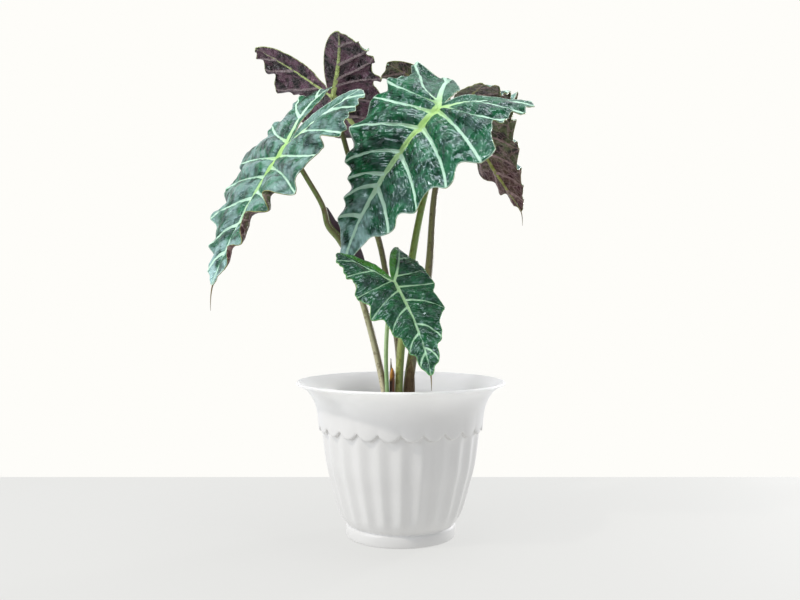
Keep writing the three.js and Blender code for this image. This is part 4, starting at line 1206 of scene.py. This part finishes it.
def blade_mesh(leaf):
    """Both faces of a blade and its closed edge, with the numbers that its materials read."""
    points, faces, places = blade_sheet(leaf)
    normals = point_normals(points, faces)
    points = points + normals * small_bumps(points)[:, None]
    vein_gap = np.full(len(points), np.inf)
    vein_age, on_rib, keel = np.zeros((3, len(points)))
    for line, *stations in blade_lines(leaf):
        gap, way = distance_to_line(points, line, stations[0])
        at = np.linspace(0, 1, len(line))
        width, height, age, is_rib = (np.interp(way, at, values) for values in stations)
        keel = np.maximum(keel, height * np.sqrt(np.clip(1 - ((gap + width) / width) ** 2, 0, 1)))
        nearer = gap < vein_gap
        vein_gap, vein_age = np.where(nearer, gap, vein_gap), np.where(nearer, age, vein_age)
        on_rib = np.where(nearer, is_rib, on_rib)
    edge_gap = np.min([np.linalg.norm(points - points[a], axis=1) for a, _ in open_edges(faces)], axis=0)
    relief = VEIN_RELIEF * np.clip(1 - vein_gap, 0, 1) ** 2
    top = points + normals * column(BLADE_THICKNESS / 2 + relief)
    under = points - normals * column(BLADE_THICKNESS / 2 + keel)
    skin = closed_skin(faces, len(points))
    kinds = [0] * len(faces) + [1] * (len(skin) - len(faces))
    numbers = {"vein_gap": vein_gap, "vein_age": vein_age, "on_rib": on_rib, "edge_gap": edge_gap,
               "along": places[:, 0], "across": places[:, 1]}
    return np.concatenate([top, under]), skin, kinds, {key: np.tile(v, 2) for key, v in numbers.items()}


blades = {leaf_name: blade_mesh(leaf) for leaf_name, leaf in LEAVES.items()}
print("blades:", {leaf_name: len(blade[1]) for leaf_name, blade in blades.items()}, "faces")

# %% [markdown]
# ## What a leaf is made of, to the eye
# The upper face is dark green with a hard, waxy shine (a leaf's wax has an IOR near 1.45). It isn't
# smooth: fine ridges run out beside the main veins, about every 2.5 mm, and wider dimples lie between
# them. That breaks the reflection of the room into the many small pale flecks that are so typical of this
# plant. A bluish sheen is painted over the green in patches, and more of it towards the tip: painted
# reflection, which stands in for the room mirrored in the gloss. The main veins are smooth and pale mint,
# and yellow-green where they meet at the stalk. A thin pale line runs round the edge. On a young leaf the
# strips between the hind ribs and the stalk's gap are a fresher green.
#
# All of these are coats over one ground colour. How much a coat covers comes from a pattern or from a
# number that the mesh carries, such as the distance to the nearest vein in millimetres. So each coat
# needs only the two values between which it fades, and its share at each of them.

# %% Leaf colours
# The sheen colour and its share near the stalk and near the tip make a painted bluish sheen: colour that
# stands in for the room's reflection in the gloss.
GREEN = {"dark": "053420", "light": "17653c", "hind": "17653c", "sheen_colour": "a6cfcb", "vein": "b4dac2",
         "junction": "a0ca72", "margin": "bcd9c6", "gloss": 0.25, "sheen_share": (0.08, 0.9)}
# the older leaves carry more of the painted bluish sheen
MORE_SHEEN = {**GREEN, "sheen_colour": "b0d6d4", "vein": "bfe2ca", "gloss": 0.27, "sheen_share": (0.35, 1.0)}
FRESH = {"dark": "063519", "light": "165a2f", "hind": "4f9a24", "sheen_colour": "4f8a68", "vein": "acd6b0",
         "junction": "a9d29a", "margin": "5f9a58", "gloss": 0.25, "sheen_share": (0.2, 0.8)}
FADE = ("Value", "From Min", "From Max", "To Min", "To Max")  # a Map Range node's inputs
# the bloom printed here is the painted bluish sheen
print("the bloom covers", GREEN["sheen_share"][1], "of the tip of a green leaf at most")

# %% [markdown]
# The relief of the face has two sources. The ridges are noise laid out along and across the blade, not in
# space, so that they follow the leaf wherever it bends. The dimples are noise in space. Both fade out on
# the main veins, which are also less glossy.

# %% The upper face
def leaf_upper(name, look):
    """Green under a painted bluish sheen, with pale veins. The look's gloss is the roughness between the
    veins, and its sheen share says how much painted sheen there is near the stalk and near the tip."""
    material, tree = new_material(name)
    place = add_node(tree, "ShaderNodeTexCoord").outputs["Object"]
    number = {key: add_node(tree, "ShaderNodeAttribute", {"attribute_name": key}).outputs["Fac"]
              for key in ("vein_gap", "vein_age", "edge_gap", "along", "across")}
    cloud, sheen_cloud = (add_node(tree, "ShaderNodeTexNoise", inputs={
        "Vector": place, "Scale": 1 / size, "Detail": detail})
        for size, detail in ((0.012, 3.0), (0.014, 2.0)))
    # the painted sheen grows from the stalk towards the tip
    sheen_towards_tip = add_node(tree, "ShaderNodeMapRange", SMOOTH, dict(zip(
        FADE, (number["along"], 70.0, 150.0, *look["sheen_share"]))))
    share = {key: add_node(tree, "ShaderNodeMapRange", SMOOTH, dict(zip(FADE, values))).outputs[0]
             for key, values in {
                 "tone": (cloud.outputs["Fac"], 0.35, 0.65, 0.0, 1.0),
                 "behind": (number["across"], -5.0, -1.0, 0.8, 0.0),
                 # painted sheen: bluish patches that stand in for reflected light
                 "painted_sheen": (sheen_cloud.outputs["Fac"], 0.4, 0.62, 0.0, sheen_towards_tip.outputs[0]),
                 "halo": (number["vein_gap"], 0.2, 2.6, 0.35, 0.0),
                 "age": (number["vein_age"], 0.15, 0.75, 0.0, 1.0),
                 "on_vein": (number["vein_gap"], -0.4, 0.5, 1.0, 0.0),
                 "on_edge": (number["edge_gap"], 0.5, 1.3, 0.85, 0.0),
                 "between": (number["vein_gap"], -0.6, 0.8, 0.1, 1.0)}.items()}
    vein_colour = add_node(tree, "ShaderNodeMix", COLOUR, {
        0: share["age"], 6: linear(look["junction"]), 7: linear(look["vein"])})
    colour = linear(look["dark"])
    for key, coat in (("tone", linear(look["light"])), ("behind", linear(look["hind"])),
                      ("painted_sheen", linear(look["sheen_colour"])), ("halo", linear(look["light"])),
                      ("on_vein", vein_colour.outputs[2]), ("on_edge", linear(look["margin"]))):
        coated = add_node(tree, "ShaderNodeMix", COLOUR, {0: share[key], 6: colour, 7: coat})
        colour = coated.outputs[2]
    blade_place = add_node(tree, "ShaderNodeCombineXYZ", inputs={0: number["along"], 1: number["across"]})
    stretch = add_node(tree, "ShaderNodeVectorMath", {"operation": "MULTIPLY"}, {
        0: blade_place.outputs[0], 1: (1 / 2.6, 1 / 9, 1.0)})
    ridges = add_node(tree, "ShaderNodeTexNoise", inputs={
        "Vector": stretch.outputs[0], "Scale": 1.0, "Detail": 0.5, "Distortion": 0.4})
    dimples = add_node(tree, "ShaderNodeTexNoise", inputs={
        "Vector": place, "Scale": 1 / 0.0085, "Detail": 0.6})
    ribbed = add_node(tree, "ShaderNodeBump", inputs={
        "Height": ridges.outputs["Fac"], "Strength": share["between"], "Distance": 0.0022})
    dimpled = add_node(tree, "ShaderNodeBump", inputs={
        "Height": dimples.outputs["Fac"], "Strength": share["between"], "Distance": 0.006,
        "Normal": ribbed.outputs[0]})
    shine = add_node(tree, "ShaderNodeMapRange", inputs={
        "Value": share["on_vein"], "To Min": look["gloss"], "To Max": 0.55})
    shader = add_node(tree, "ShaderNodeBsdfPrincipled", inputs={
        "Base Color": colour, "Roughness": shine.outputs[0], "IOR": 1.45, "Normal": dimpled.outputs[0],
        "Specular IOR Level": 0.8, "Specular Tint": linear("dcefff")})
    add_node(tree, "ShaderNodeOutputMaterial", inputs={"Surface": shader.outputs[0]})
    print(name, "has", len(tree.nodes), "nodes")
    return material


upper_green = leaf_upper("mature_leaf_wax", GREEN)
upper_more_sheen = leaf_upper("sheened_leaf_wax", MORE_SHEEN)
upper_fresh = leaf_upper("young_leaf_wax", FRESH)

# %% [markdown]
# The underside is another matter: purple-brown and only half glossy, or olive with a red-brown flush near
# the tip. Its ribs are pale yellow-green, the side veins are pinkish, and between them shows a net of the
# finest veins with meshes about 7 mm wide. The same numbers steer it, so each vein lies in the same place
# on both faces.

# %% The underside
PURPLE = {"dark": "130d10", "light": "69495a", "flush": "4a333c", "rib": "b8cc7c", "vein": "8f7e80",
          "net": 0.3}
OLIVE = {"dark": "1f1512", "light": "5b6340", "flush": "5a2e36", "rib": "97a04e", "vein": "9a807e",
         "net": 0.6}
PALE = {"dark": "3e6a35", "light": "5c8a4a", "flush": "4d7a40", "rib": "a8cf7a", "vein": "9cc27c",
        "net": 0.3}


def leaf_underside(name, look):
    """Satin, with coloured ribs and side veins; net is the strength of the net of fine veins."""
    material, tree = new_material(name)
    place = add_node(tree, "ShaderNodeTexCoord").outputs["Object"]
    number = {key: add_node(tree, "ShaderNodeAttribute", {"attribute_name": key}).outputs["Fac"]
              for key in ("vein_gap", "vein_age", "on_rib", "edge_gap", "along", "across")}
    cloud, dimples = (add_node(tree, "ShaderNodeTexNoise", inputs={
        "Vector": place, "Scale": 1 / size, "Detail": detail})
        for size, detail in ((0.011, 4.0), (0.008, 2.0)))
    blade_place = add_node(tree, "ShaderNodeCombineXYZ", inputs={0: number["along"], 1: number["across"]})
    meshes = add_node(tree, "ShaderNodeTexVoronoi", {"feature": "DISTANCE_TO_EDGE"}, {
        "Vector": blade_place.outputs[0], "Scale": 1 / 7})
    share = {key: add_node(tree, "ShaderNodeMapRange", SMOOTH, dict(zip(FADE, values))).outputs[0]
             for key, values in {
                 "tone": (cloud.outputs["Fac"], 0.4, 0.62, 0.0, 1.0),
                 "near_tip": (number["along"], 45.0, 95.0, 0.0, 0.65),
                 "on_net": (meshes.outputs["Distance"], 0.0, 0.12, look["net"], 0.0),
                 "age": (number["vein_age"], 0.55, 1.3, 1.0, 0.2),
                 "on_vein": (number["vein_gap"], -0.9, 0.0, 0.95, 0.0),
                 "on_edge": (number["edge_gap"], 0.2, 0.9, 0.6, 0.0)}.items()}
    ripe = add_node(tree, "ShaderNodeMath", {"operation": "MULTIPLY"}, {
        0: share["age"], 1: number["on_rib"]})
    vein_colour = add_node(tree, "ShaderNodeMix", COLOUR, {
        0: ripe.outputs[0], 6: linear(look["vein"]), 7: linear(look["rib"])})
    colour = linear(look["dark"])
    for key, coat in (("tone", linear(look["light"])), ("near_tip", linear(look["flush"])),
                      ("on_net", linear(look["vein"])), ("on_vein", vein_colour.outputs[2]),
                      ("on_edge", linear(look["rib"]))):
        coated = add_node(tree, "ShaderNodeMix", COLOUR, {0: share[key], 6: colour, 7: coat})
        colour = coated.outputs[2]
    dimpled = add_node(tree, "ShaderNodeBump", inputs={
        "Height": dimples.outputs["Fac"], "Strength": 1.0, "Distance": 0.009})
    shader = add_node(tree, "ShaderNodeBsdfPrincipled", inputs={
        "Base Color": colour, "Roughness": 0.32, "IOR": 1.43, "Normal": dimpled.outputs[0]})
    add_node(tree, "ShaderNodeOutputMaterial", inputs={"Surface": shader.outputs[0]})
    print(name, "has", len(tree.nodes), "nodes")
    return material


under_purple = leaf_underside("mature_leaf_underside", PURPLE)
under_olive = leaf_underside("olive_leaf_underside", OLIVE)
under_pale = leaf_underside("young_leaf_underside", PALE)

# %% [markdown]
# The young leaf is a fresher green with less painted sheen, and its underside hasn't turned purple yet.
# The left leaf and the one at the back on the right are older: they have more painted sheen above and are
# more olive below.

# %% Hang the leaves
LEAF_SKINS = {
    "front": [upper_green, under_purple], "left": [upper_more_sheen, under_olive],
    "back_left": [upper_green, under_purple], "back_right": [upper_more_sheen, under_olive],
    "young": [upper_fresh, under_pale],
}
for leaf_name, (points, faces, kinds, numbers) in blades.items():
    make_piece(f"leaf_blade_{leaf_name}", points, faces, LEAF_SKINS[leaf_name],
               "young_leaf_blade" if leaf_name == "young" else "leaf_blade", [f"blade_{leaf_name}"], kinds,
               numbers)

# %% [markdown]
# ## Stalks
# Each leaf stands on a juicy round stalk. The thickest tapers from 10 mm at the rhizome to 5 mm under the
# blade, and the young leaf's is only 4 mm thick. A stalk is a tube: rings of points set square to a
# smooth path. A curve with a bevel would also give a tube, but only points of our own can carry numbers
# for the skin. A stalk bends most in its upper third, where the blade's weight pulls it over, and ends
# just under the blade's face, in the keel of the midrib.

# %% Tubes along a path
STALK_SIDES, STALK_RINGS = 28, 90
SWELLING = 0.04  # a share of the radius
TOP_ROUNDING = 60  # the rounded end is this many times shorter than the stalk


def path_directions(path):
    """Along the path, and to its right as seen from the front."""
    tangent = np.gradient(path, axis=0)
    tangent /= np.linalg.norm(tangent, axis=1, keepdims=True)
    right = np.cross(tangent, (0, -1, 0))
    return tangent, right / np.linalg.norm(right, axis=1, keepdims=True)


def tube(path, radii, sides):
    """Rings along a path, closed at both ends: points, faces and the outward direction at each point."""
    path = np.asarray(path, float)
    tangent, right = path_directions(path)
    angle = np.arange(sides) * 2 * np.pi / sides
    out = (right[:, None] * np.cos(angle)[:, None]
           + np.cross(tangent, right)[:, None] * np.sin(angle)[:, None])
    points = path[:, None] + out * np.asarray(radii, float)[:, None, None]
    faces = ring_faces(len(path), sides) + end_caps(len(path), sides)
    return points.reshape(-1, 3), faces, out.reshape(-1, 3)


def stalk_radii(foot, top, count):
    """Even taper with a soft swelling here and there, and a rounded top end."""
    share = np.linspace(0, 1, count)
    swelling = 1 + SWELLING * np.sin(9 * share + foot)
    rounding = np.clip((1 - share) * TOP_ROUNDING, 0, 1) ** 0.5
    return (foot + (top - foot) * share) * swelling * rounding + 0.05


foot_radius, middle_radius, _ = stalk_radii(*front["radii"], 3)
print(f"the front stalk: radius {foot_radius:.1f} mm at its foot, {middle_radius:.1f} mm halfway up")

# %% [markdown]
# A stalk's skin changes along its length: tan or olive at the foot and green towards the blade. Painted
# light and shade lie over it too: the side that faces the lamps keeps the paler colour, and the side away
# from them is painted in a darker shade colour. Fine lengthwise streaks and short brownish freckles break
# it up. The streaks are a noise pattern squeezed to 1 mm across the stalk and left 12 mm long along it.
# The skin is satin: its wax has an IOR of 1.45, and a roughness of 0.4 spreads the highlight into a soft
# line.

# %% The skin of a stalk
# stalks and the shoot are painted paler on the side that faces this way, towards the lamps, and painted
# with a darker shade colour on the other side: painted light and shade
SUNNY_SIDE = np.array([-0.95, 0, 0.2])


def stalk_skin(name, foot, top, painted_shade, freckle, turn=(0.1, 0.8)):
    """The colours of the foot, of the top, of the painted shade on the side away from the light, and of the
    freckles; turn says between which shares of the length the foot's colour gives way to the top's."""
    material, tree = new_material(name)
    place = add_node(tree, "ShaderNodeTexCoord").outputs["Object"]
    way, sunny = (add_node(tree, "ShaderNodeAttribute", {"attribute_name": key}).outputs["Fac"]
                  for key in ("way", "sunny"))
    squeezed = add_node(tree, "ShaderNodeVectorMath", {"operation": "MULTIPLY"}, {
        0: place, 1: (1 / 0.001, 1 / 0.001, 1 / 0.012)})
    streaks = add_node(tree, "ShaderNodeTexNoise", inputs={
        "Vector": squeezed.outputs[0], "Scale": 1.0, "Detail": 2.0})
    blotches = add_node(tree, "ShaderNodeTexNoise", inputs={
        "Vector": place, "Scale": 1 / 0.004, "Detail": 4.0})
    colour = linear(foot)
    # coats: the top's colour along the stalk, painted shade on the side away from the lamps, and freckles
    for fade, coat in (((way, *turn, 0.0, 1.0), top), ((sunny, -0.6, 0.4, 0.85, 0.0), painted_shade),
                       ((blotches.outputs["Fac"], 0.52, 0.66, 0.0, 0.55), freckle)):
        share = add_node(tree, "ShaderNodeMapRange", SMOOTH, dict(zip(FADE, fade)))
        coated = add_node(tree, "ShaderNodeMix", COLOUR, {0: share.outputs[0], 6: colour, 7: linear(coat)})
        colour = coated.outputs[2]
    grooved = add_node(tree, "ShaderNodeBump", inputs={
        "Height": streaks.outputs["Fac"], "Strength": 0.5, "Distance": 0.0003})
    shader = add_node(tree, "ShaderNodeBsdfPrincipled", inputs={
        "Base Color": colour, "Roughness": 0.4, "IOR": 1.45, "Normal": grooved.outputs[0]})
    add_node(tree, "ShaderNodeOutputMaterial", inputs={"Surface": shader.outputs[0]})
    return material


print("a stalk is palest on the side that faces", SUNNY_SIDE)

# %% [markdown]
# Now the five stalks. The last point of each path is moved a little under the blade, so that the stalk
# ends inside the keel and never comes out on top. The colours were compared with the photograph: the left
# stalk is the palest at its foot, and the two at the back are darker and browner.

# %% Raise the stalks
# the third colour of each stalk is painted shade, for its side away from the lamps
STALK_COLOURS = {  # foot, top, shaded side, freckles
    "front": ("b2b96c", "769a48", "5f7a34", "6b6b35"),
    "left": ("e0d6b4", "8aa35e", "5b4c34", "6a5236"),
    "back_left": ("938a6c", "86955c", "4e4038", "5b4638"),
    "back_right": ("9a9a62", "85875f", "50492f", "5d4a38"),
    "young": ("a5c98c", "bcd6a2", "7da35f", "86b05a"),
}
SUNK_IN_KEEL = 1.8
for leaf_name, leaf in LEAVES.items():
    normal = spine_frames(leaf, np.zeros(1))[2][0]
    path = smooth_path(leaf["stalk"][:-1] + [tuple(leaf["stalk"][-1] - normal * SUNK_IN_KEEL)], STALK_RINGS)
    points, faces, out = tube(path, stalk_radii(*leaf["radii"], STALK_RINGS), STALK_SIDES)
    # sunny says how far each point faces the lamps; the painted light and shade follow it
    numbers = {"way": np.repeat(np.linspace(0, 1, STALK_RINGS), STALK_SIDES), "sunny": out @ SUNNY_SIDE}
    skin = stalk_skin(f"stalk_skin_{leaf_name}", *STALK_COLOURS[leaf_name])
    make_piece(f"leaf_stalk_{leaf_name}", points, faces, [skin],
               "young_leaf_stalk" if leaf_name == "young" else "leaf_stalk", [f"petiole_{leaf_name}"],
               numbers=numbers)

# %% [markdown]
# ## The sheath
# A stalk is born inside the sheath of the one before it. On the left stalk the sheath is still there: a
# dark purple wing beside the stalk, pointed at both ends, with a pale line along it. It is a tube too,
# but with flat rings and a crease.

# %% Shape the sheath
SHEATH_FROM, SHEATH_TO, SHEATH_RINGS = 0.45, 0.77, 60  # where it starts and ends, as shares of the stalk
SHEATH_HALF_WIDTH, SHEATH_HALF_THICKNESS, SHEATH_BACKWARD, SHEATH_GAP = 5.5, 1.5, 0.35, 0.2
SHEATH_POINTEDNESS, SHEATH_END = 0.8, 0.06  # how its width swells, and its share left at the ends
CREASE_DEPTH, CREASE_WIDTH, CREASE_PLACE = 0.55, 0.25, 0.2
OUTER_EDGE = 0.9  # further out than this the wing has no crease
STALK_STEPS = 400


def sheath_points():
    """Flat rings beside the left stalk, and how far across the wing each point lies."""
    path = smooth_path(LEAVES["left"]["stalk"], STALK_STEPS)
    share = np.linspace(0, 1, SHEATH_RINGS)
    place = SHEATH_FROM + (SHEATH_TO - SHEATH_FROM) * share
    at = (place * (len(path) - 1)).astype(int)
    tangent, right = (direction[at] for direction in path_directions(path))
    wing = right + np.array([0, SHEATH_BACKWARD, 0])
    wing /= np.linalg.norm(wing, axis=1, keepdims=True)
    swell = np.sin(np.pi * share) ** SHEATH_POINTEDNESS + SHEATH_END
    width = column(SHEATH_HALF_WIDTH * swell)
    stalk_radius = column(np.interp(place, (0, 1), LEAVES["left"]["radii"]))
    centre = path[at] + wing * (stalk_radius + SHEATH_GAP + width)
    thick = np.cross(tangent, wing) * column(SHEATH_HALF_THICKNESS * swell)
    angle = np.arange(STALK_SIDES) * 2 * np.pi / STALK_SIDES
    dip = np.exp(-((np.sin(angle) - CREASE_PLACE) / CREASE_WIDTH) ** 2) * (np.cos(angle) < OUTER_EDGE)
    points = (centre[:, None] + (wing * width)[:, None] * np.cos(angle)[:, None]
              + thick[:, None] * (np.sin(angle) * (1 - CREASE_DEPTH * dip))[:, None])
    return points.reshape(-1, 3), np.tile(np.cos(angle), SHEATH_RINGS)


sheath_place, sheath_across = sheath_points()
sheath_faces = ring_faces(SHEATH_RINGS, STALK_SIDES) + end_caps(SHEATH_RINGS, STALK_SIDES)
print("the sheath runs between the heights of", *sheath_place[[0, -1], 2].round(), "mm")

# %% [markdown]
# The sheath's skin is dark purple in two tones and satin, like a grape's. The mesh tells it how far
# across the wing each point lies, and that number brings up the pale line near the stalk.

# %% The skin of the sheath
def sheath_skin():
    """Dark purple and satin, with a pale green line near the stalk."""
    material, tree = new_material("sheath_skin")
    place = add_node(tree, "ShaderNodeTexCoord").outputs["Object"]
    across = add_node(tree, "ShaderNodeAttribute", {"attribute_name": "across"}).outputs["Fac"]
    cloud = add_node(tree, "ShaderNodeTexNoise", inputs={
        "Vector": place, "Scale": 1 / 0.004, "Detail": 4.0})
    ground = add_node(tree, "ShaderNodeMix", COLOUR, {
        0: cloud.outputs["Fac"], 6: linear("2c1c26"), 7: linear("55404a")})
    inner = add_node(tree, "ShaderNodeMapRange", SMOOTH, dict(zip(FADE, (across, -0.95, -0.6, 0.85, 0.0))))
    lined = add_node(tree, "ShaderNodeMix", COLOUR, {
        0: inner.outputs[0], 6: ground.outputs[2], 7: linear("9db26c")})
    veins = add_node(tree, "ShaderNodeBump", inputs={
        "Height": cloud.outputs["Fac"], "Strength": 0.5, "Distance": 0.0005})
    shader = add_node(tree, "ShaderNodeBsdfPrincipled", inputs={
        "Base Color": lined.outputs[2], "Roughness": 0.42, "IOR": 1.45, "Normal": veins.outputs[0]})
    add_node(tree, "ShaderNodeOutputMaterial", inputs={"Surface": shader.outputs[0]})
    return material


make_piece("stalk_sheath_left", sheath_place, sheath_faces, [sheath_skin()], "purple_sheath",
           ["sheath_left"], numbers={"across": sheath_across})

# %% [markdown]
# ## Husks
# At the foot of the plant old sheaths have dried to paper with split, uneven tips, olive-brown above and
# nearly black towards the soil. They stand round the stalks like half a pipe. A husk is a bent sheet
# with creases along it. Two waves of different length move its upper edge up and down, so it looks torn.

# %% Bend the husks
HUSK_ROWS, HUSK_COLUMNS, HUSK_THICKNESS = 40, 36, 0.6
HUSK_CREASE, HUSK_TEAR = 0.22, 0.05  # the depth of the creases in millimetres, and of the tears as a share
CREASE_WAVES, TEAR_WAVES = 13, (17, 7)  # radians of wave from the middle of a husk to its side
HUSKS = {
    "right": {"foot": (6.6, 1.4, 112), "tip": (7.4, 1.6, 166), "radius": 6.3, "bearing": -70, "spread": 62,
              "flare": 0.5},
    "left": {"foot": (-3.2, -4.8, 114), "tip": (-4.2, -5.2, 165), "radius": 5, "bearing": 150, "spread": 36,
             "flare": 1},
}


def husk_sheet(husk):
    """A standing half pipe of paper: creased lengthwise, narrowing to a split tip."""
    u, v = np.meshgrid(np.linspace(0, 1, HUSK_ROWS), np.linspace(-1, 1, HUSK_COLUMNS), indexing="ij")
    foot, tip = np.array(husk["foot"], float), np.array(husk["tip"], float)
    angle = np.radians(husk["bearing"] + v * husk["spread"] * (1 - u ** 2.2) ** 0.6)
    crease = HUSK_CREASE * np.sin(CREASE_WAVES * v + 2 * u) * np.clip(4 * u, 0, 1)
    radius = husk["radius"] + husk["flare"] * u * u + crease
    torn = np.sin(TEAR_WAVES[0] * v) + np.sin(TEAR_WAVES[1] * v + 1)
    tear = column(u - HUSK_TEAR * u ** 4 * torn)
    points = foot + (tip - foot) * tear + stack(radius * np.cos(angle), radius * np.sin(angle), 0)
    return points.reshape(-1, 3), [face[::-1] for face in ring_faces(HUSK_ROWS, HUSK_COLUMNS, closed=False)]


print("a husk is a sheet of", HUSK_ROWS, "by", HUSK_COLUMNS, "points")

# %% [markdown]
# Dry paper has no shine to speak of: the eye sees fibres, stains and dark spots. The foot is darker, and
# that coat follows the height. The sheet becomes a body in the same way as a blade.

# %% Dry husk paper
def dry_husk():
    """Papery sheath: matt and olive-brown, with a darker foot, dark spots 2 mm apart and fibres."""
    material, tree = new_material("dry_husk")
    place = add_node(tree, "ShaderNodeTexCoord").outputs["Object"]
    squeezed = add_node(tree, "ShaderNodeVectorMath", {"operation": "MULTIPLY"}, {
        0: place, 1: (1 / 0.0007, 1 / 0.0007, 1 / 0.01)})
    fibres = add_node(tree, "ShaderNodeTexNoise", inputs={
        "Vector": squeezed.outputs[0], "Scale": 1.0, "Detail": 2.0}).outputs["Fac"]
    stains = add_node(tree, "ShaderNodeTexNoise", inputs={
        "Vector": place, "Scale": 1 / 0.006, "Detail": 3.0})
    cells = add_node(tree, "ShaderNodeTexVoronoi", inputs={"Vector": place, "Scale": 1 / 0.002})
    height = add_node(tree, "ShaderNodeSeparateXYZ", inputs={0: place}).outputs["Z"]
    # tone from stains, a darker foot that fades out between the heights of 148 and 163 mm, and dark spots
    tone, darker_foot, spot = (add_node(tree, "ShaderNodeMapRange", SMOOTH, dict(zip(FADE, fade))).outputs[0]
                        for fade in ((stains.outputs["Fac"], 0.35, 0.65, 0.0, 1.0),
                                     (height, 0.148, 0.163, 0.85, 0.0),
                                     (cells.outputs["Distance"], 0.15, 0.35, 0.75, 0.0)))
    colour = linear("5d4c30")
    for share, coat in ((tone, "989060"), (darker_foot, "33201a"), (fibres, "6b5638"), (spot, "2a1713")):
        coated = add_node(tree, "ShaderNodeMix", COLOUR, {0: share, 6: colour, 7: linear(coat)})
        colour = coated.outputs[2]
    crinkled = add_node(tree, "ShaderNodeBump", inputs={
        "Height": fibres, "Strength": 0.6, "Distance": 0.0004})
    shader = add_node(tree, "ShaderNodeBsdfPrincipled", inputs={
        "Base Color": colour, "Roughness": 0.75, "IOR": 1.45, "Normal": crinkled.outputs[0]})
    add_node(tree, "ShaderNodeOutputMaterial", inputs={"Surface": shader.outputs[0]})
    return material


husk_paper = dry_husk()
for side_name, husk in HUSKS.items():
    points, faces = husk_sheet(husk)
    kept, faces = merged(points, faces)
    points = points[kept]
    offset = point_normals(points, faces) * HUSK_THICKNESS / 2
    make_piece(f"papery_husk_{side_name}", np.concatenate([points + offset, points - offset]),
               closed_skin(faces, len(points)), [husk_paper], "dry_husk", [f"husk_{side_name}"])

# %% [markdown]
# ## The young shoot
# Between the stalks the next leaf is coming up as a pointed shoot, dark below and orange at its tip. It
# is a tube in five scales, and each scale stands out a little at its upper edge. Its skin is the stalks'
# recipe with other colours, which turn near the tip.

# %% The young shoot
SHOOT_PATH, SHOOT_RADII, SHOOT_RINGS = [(-7, -9.3, 104), (-8.2, -9.5, 135), (-8, -9, 161)], (2.9, 2.2), 50
SHOOT_SCALES, SCALE_EDGE = 5, 0.12
SHOOT_POINT, SHOOT_END, POINT_ROUNDING = 9, 0.05, 0.6  # its point is a ninth of its length

share = np.linspace(0, 1, SHOOT_RINGS)
taper = SHOOT_RADII[0] + (SHOOT_RADII[1] - SHOOT_RADII[0]) * share
radii = taper * (1 + SCALE_EDGE * (share * SHOOT_SCALES % 1))
radii = radii * np.clip((1 - share) * SHOOT_POINT, SHOOT_END, 1) ** POINT_ROUNDING
points, faces, out = tube(smooth_path(SHOOT_PATH, SHOOT_RINGS), radii, STALK_SIDES)
# the third colour is painted shade on the shoot's side away from the lamps
shoot_skin = stalk_skin("shoot_skin", "40261a", "dc9434", "74401f", "5a2d18", turn=(0.76, 0.86))
make_piece("young_shoot", points, faces, [shoot_skin], "shoot_skin", ["shoot"],
           numbers={"way": np.repeat(share, STALK_SIDES), "sunny": out @ SUNNY_SIDE})

# %% [markdown]
# ## Drip tips
# A leaf of a rain forest ends in a thread that leads the water off. As the leaf ages the thread dries to
# a thin brown hair. It starts inside the blade's tip, follows the midrib and then gives in to gravity.

# %% Add the drip tips
DRIP_LENGTHS = {"left": 24, "back_right": 18, "young": 12, "front": 4, "back_left": 5}
DRIP_RADIUS, DRIP_RINGS, DRIP_SIDES, DRIP_TAPER = 0.75, 24, 10, 0.8
DRIP_START, DRIP_ROOT = 0.97, 4  # it starts at this share of the midrib, so it is longer by its hidden root


def drip_tip(leaf, length):
    """A tapering tube that turns from the midrib's direction to straight down."""
    along = spine_frames(leaf, np.ones(1))[0][0]
    start = rib_points(leaf, leaf["halves"][0], 1, np.array([DRIP_START]))[0]
    share = np.linspace(0, 1, DRIP_RINGS)[:, None]
    steps = along * (1 - share) ** 2 + np.array([0, 0, -1]) * (1 - (1 - share) ** 2)
    steps /= np.linalg.norm(steps, axis=1, keepdims=True)
    path = start + np.cumsum(steps * (length + DRIP_ROOT) / DRIP_RINGS, axis=0)
    return tube(path, DRIP_RADIUS * (1 - DRIP_TAPER * share[:, 0]), DRIP_SIDES)


tip_points, tip_faces = [], []
for leaf_name, length in DRIP_LENGTHS.items():
    points, faces, _ = drip_tip(LEAVES[leaf_name], length)
    tip_faces += [tuple(i + len(tip_points) for i in face) for face in faces]
    tip_points += points.tolist()
dry_tip = crumbly("dry_drip_tip", "54452f", "8a7a4c", 0.002)
make_piece("drip_tips", tip_points, tip_faces, [dry_tip], "leaf_blade")
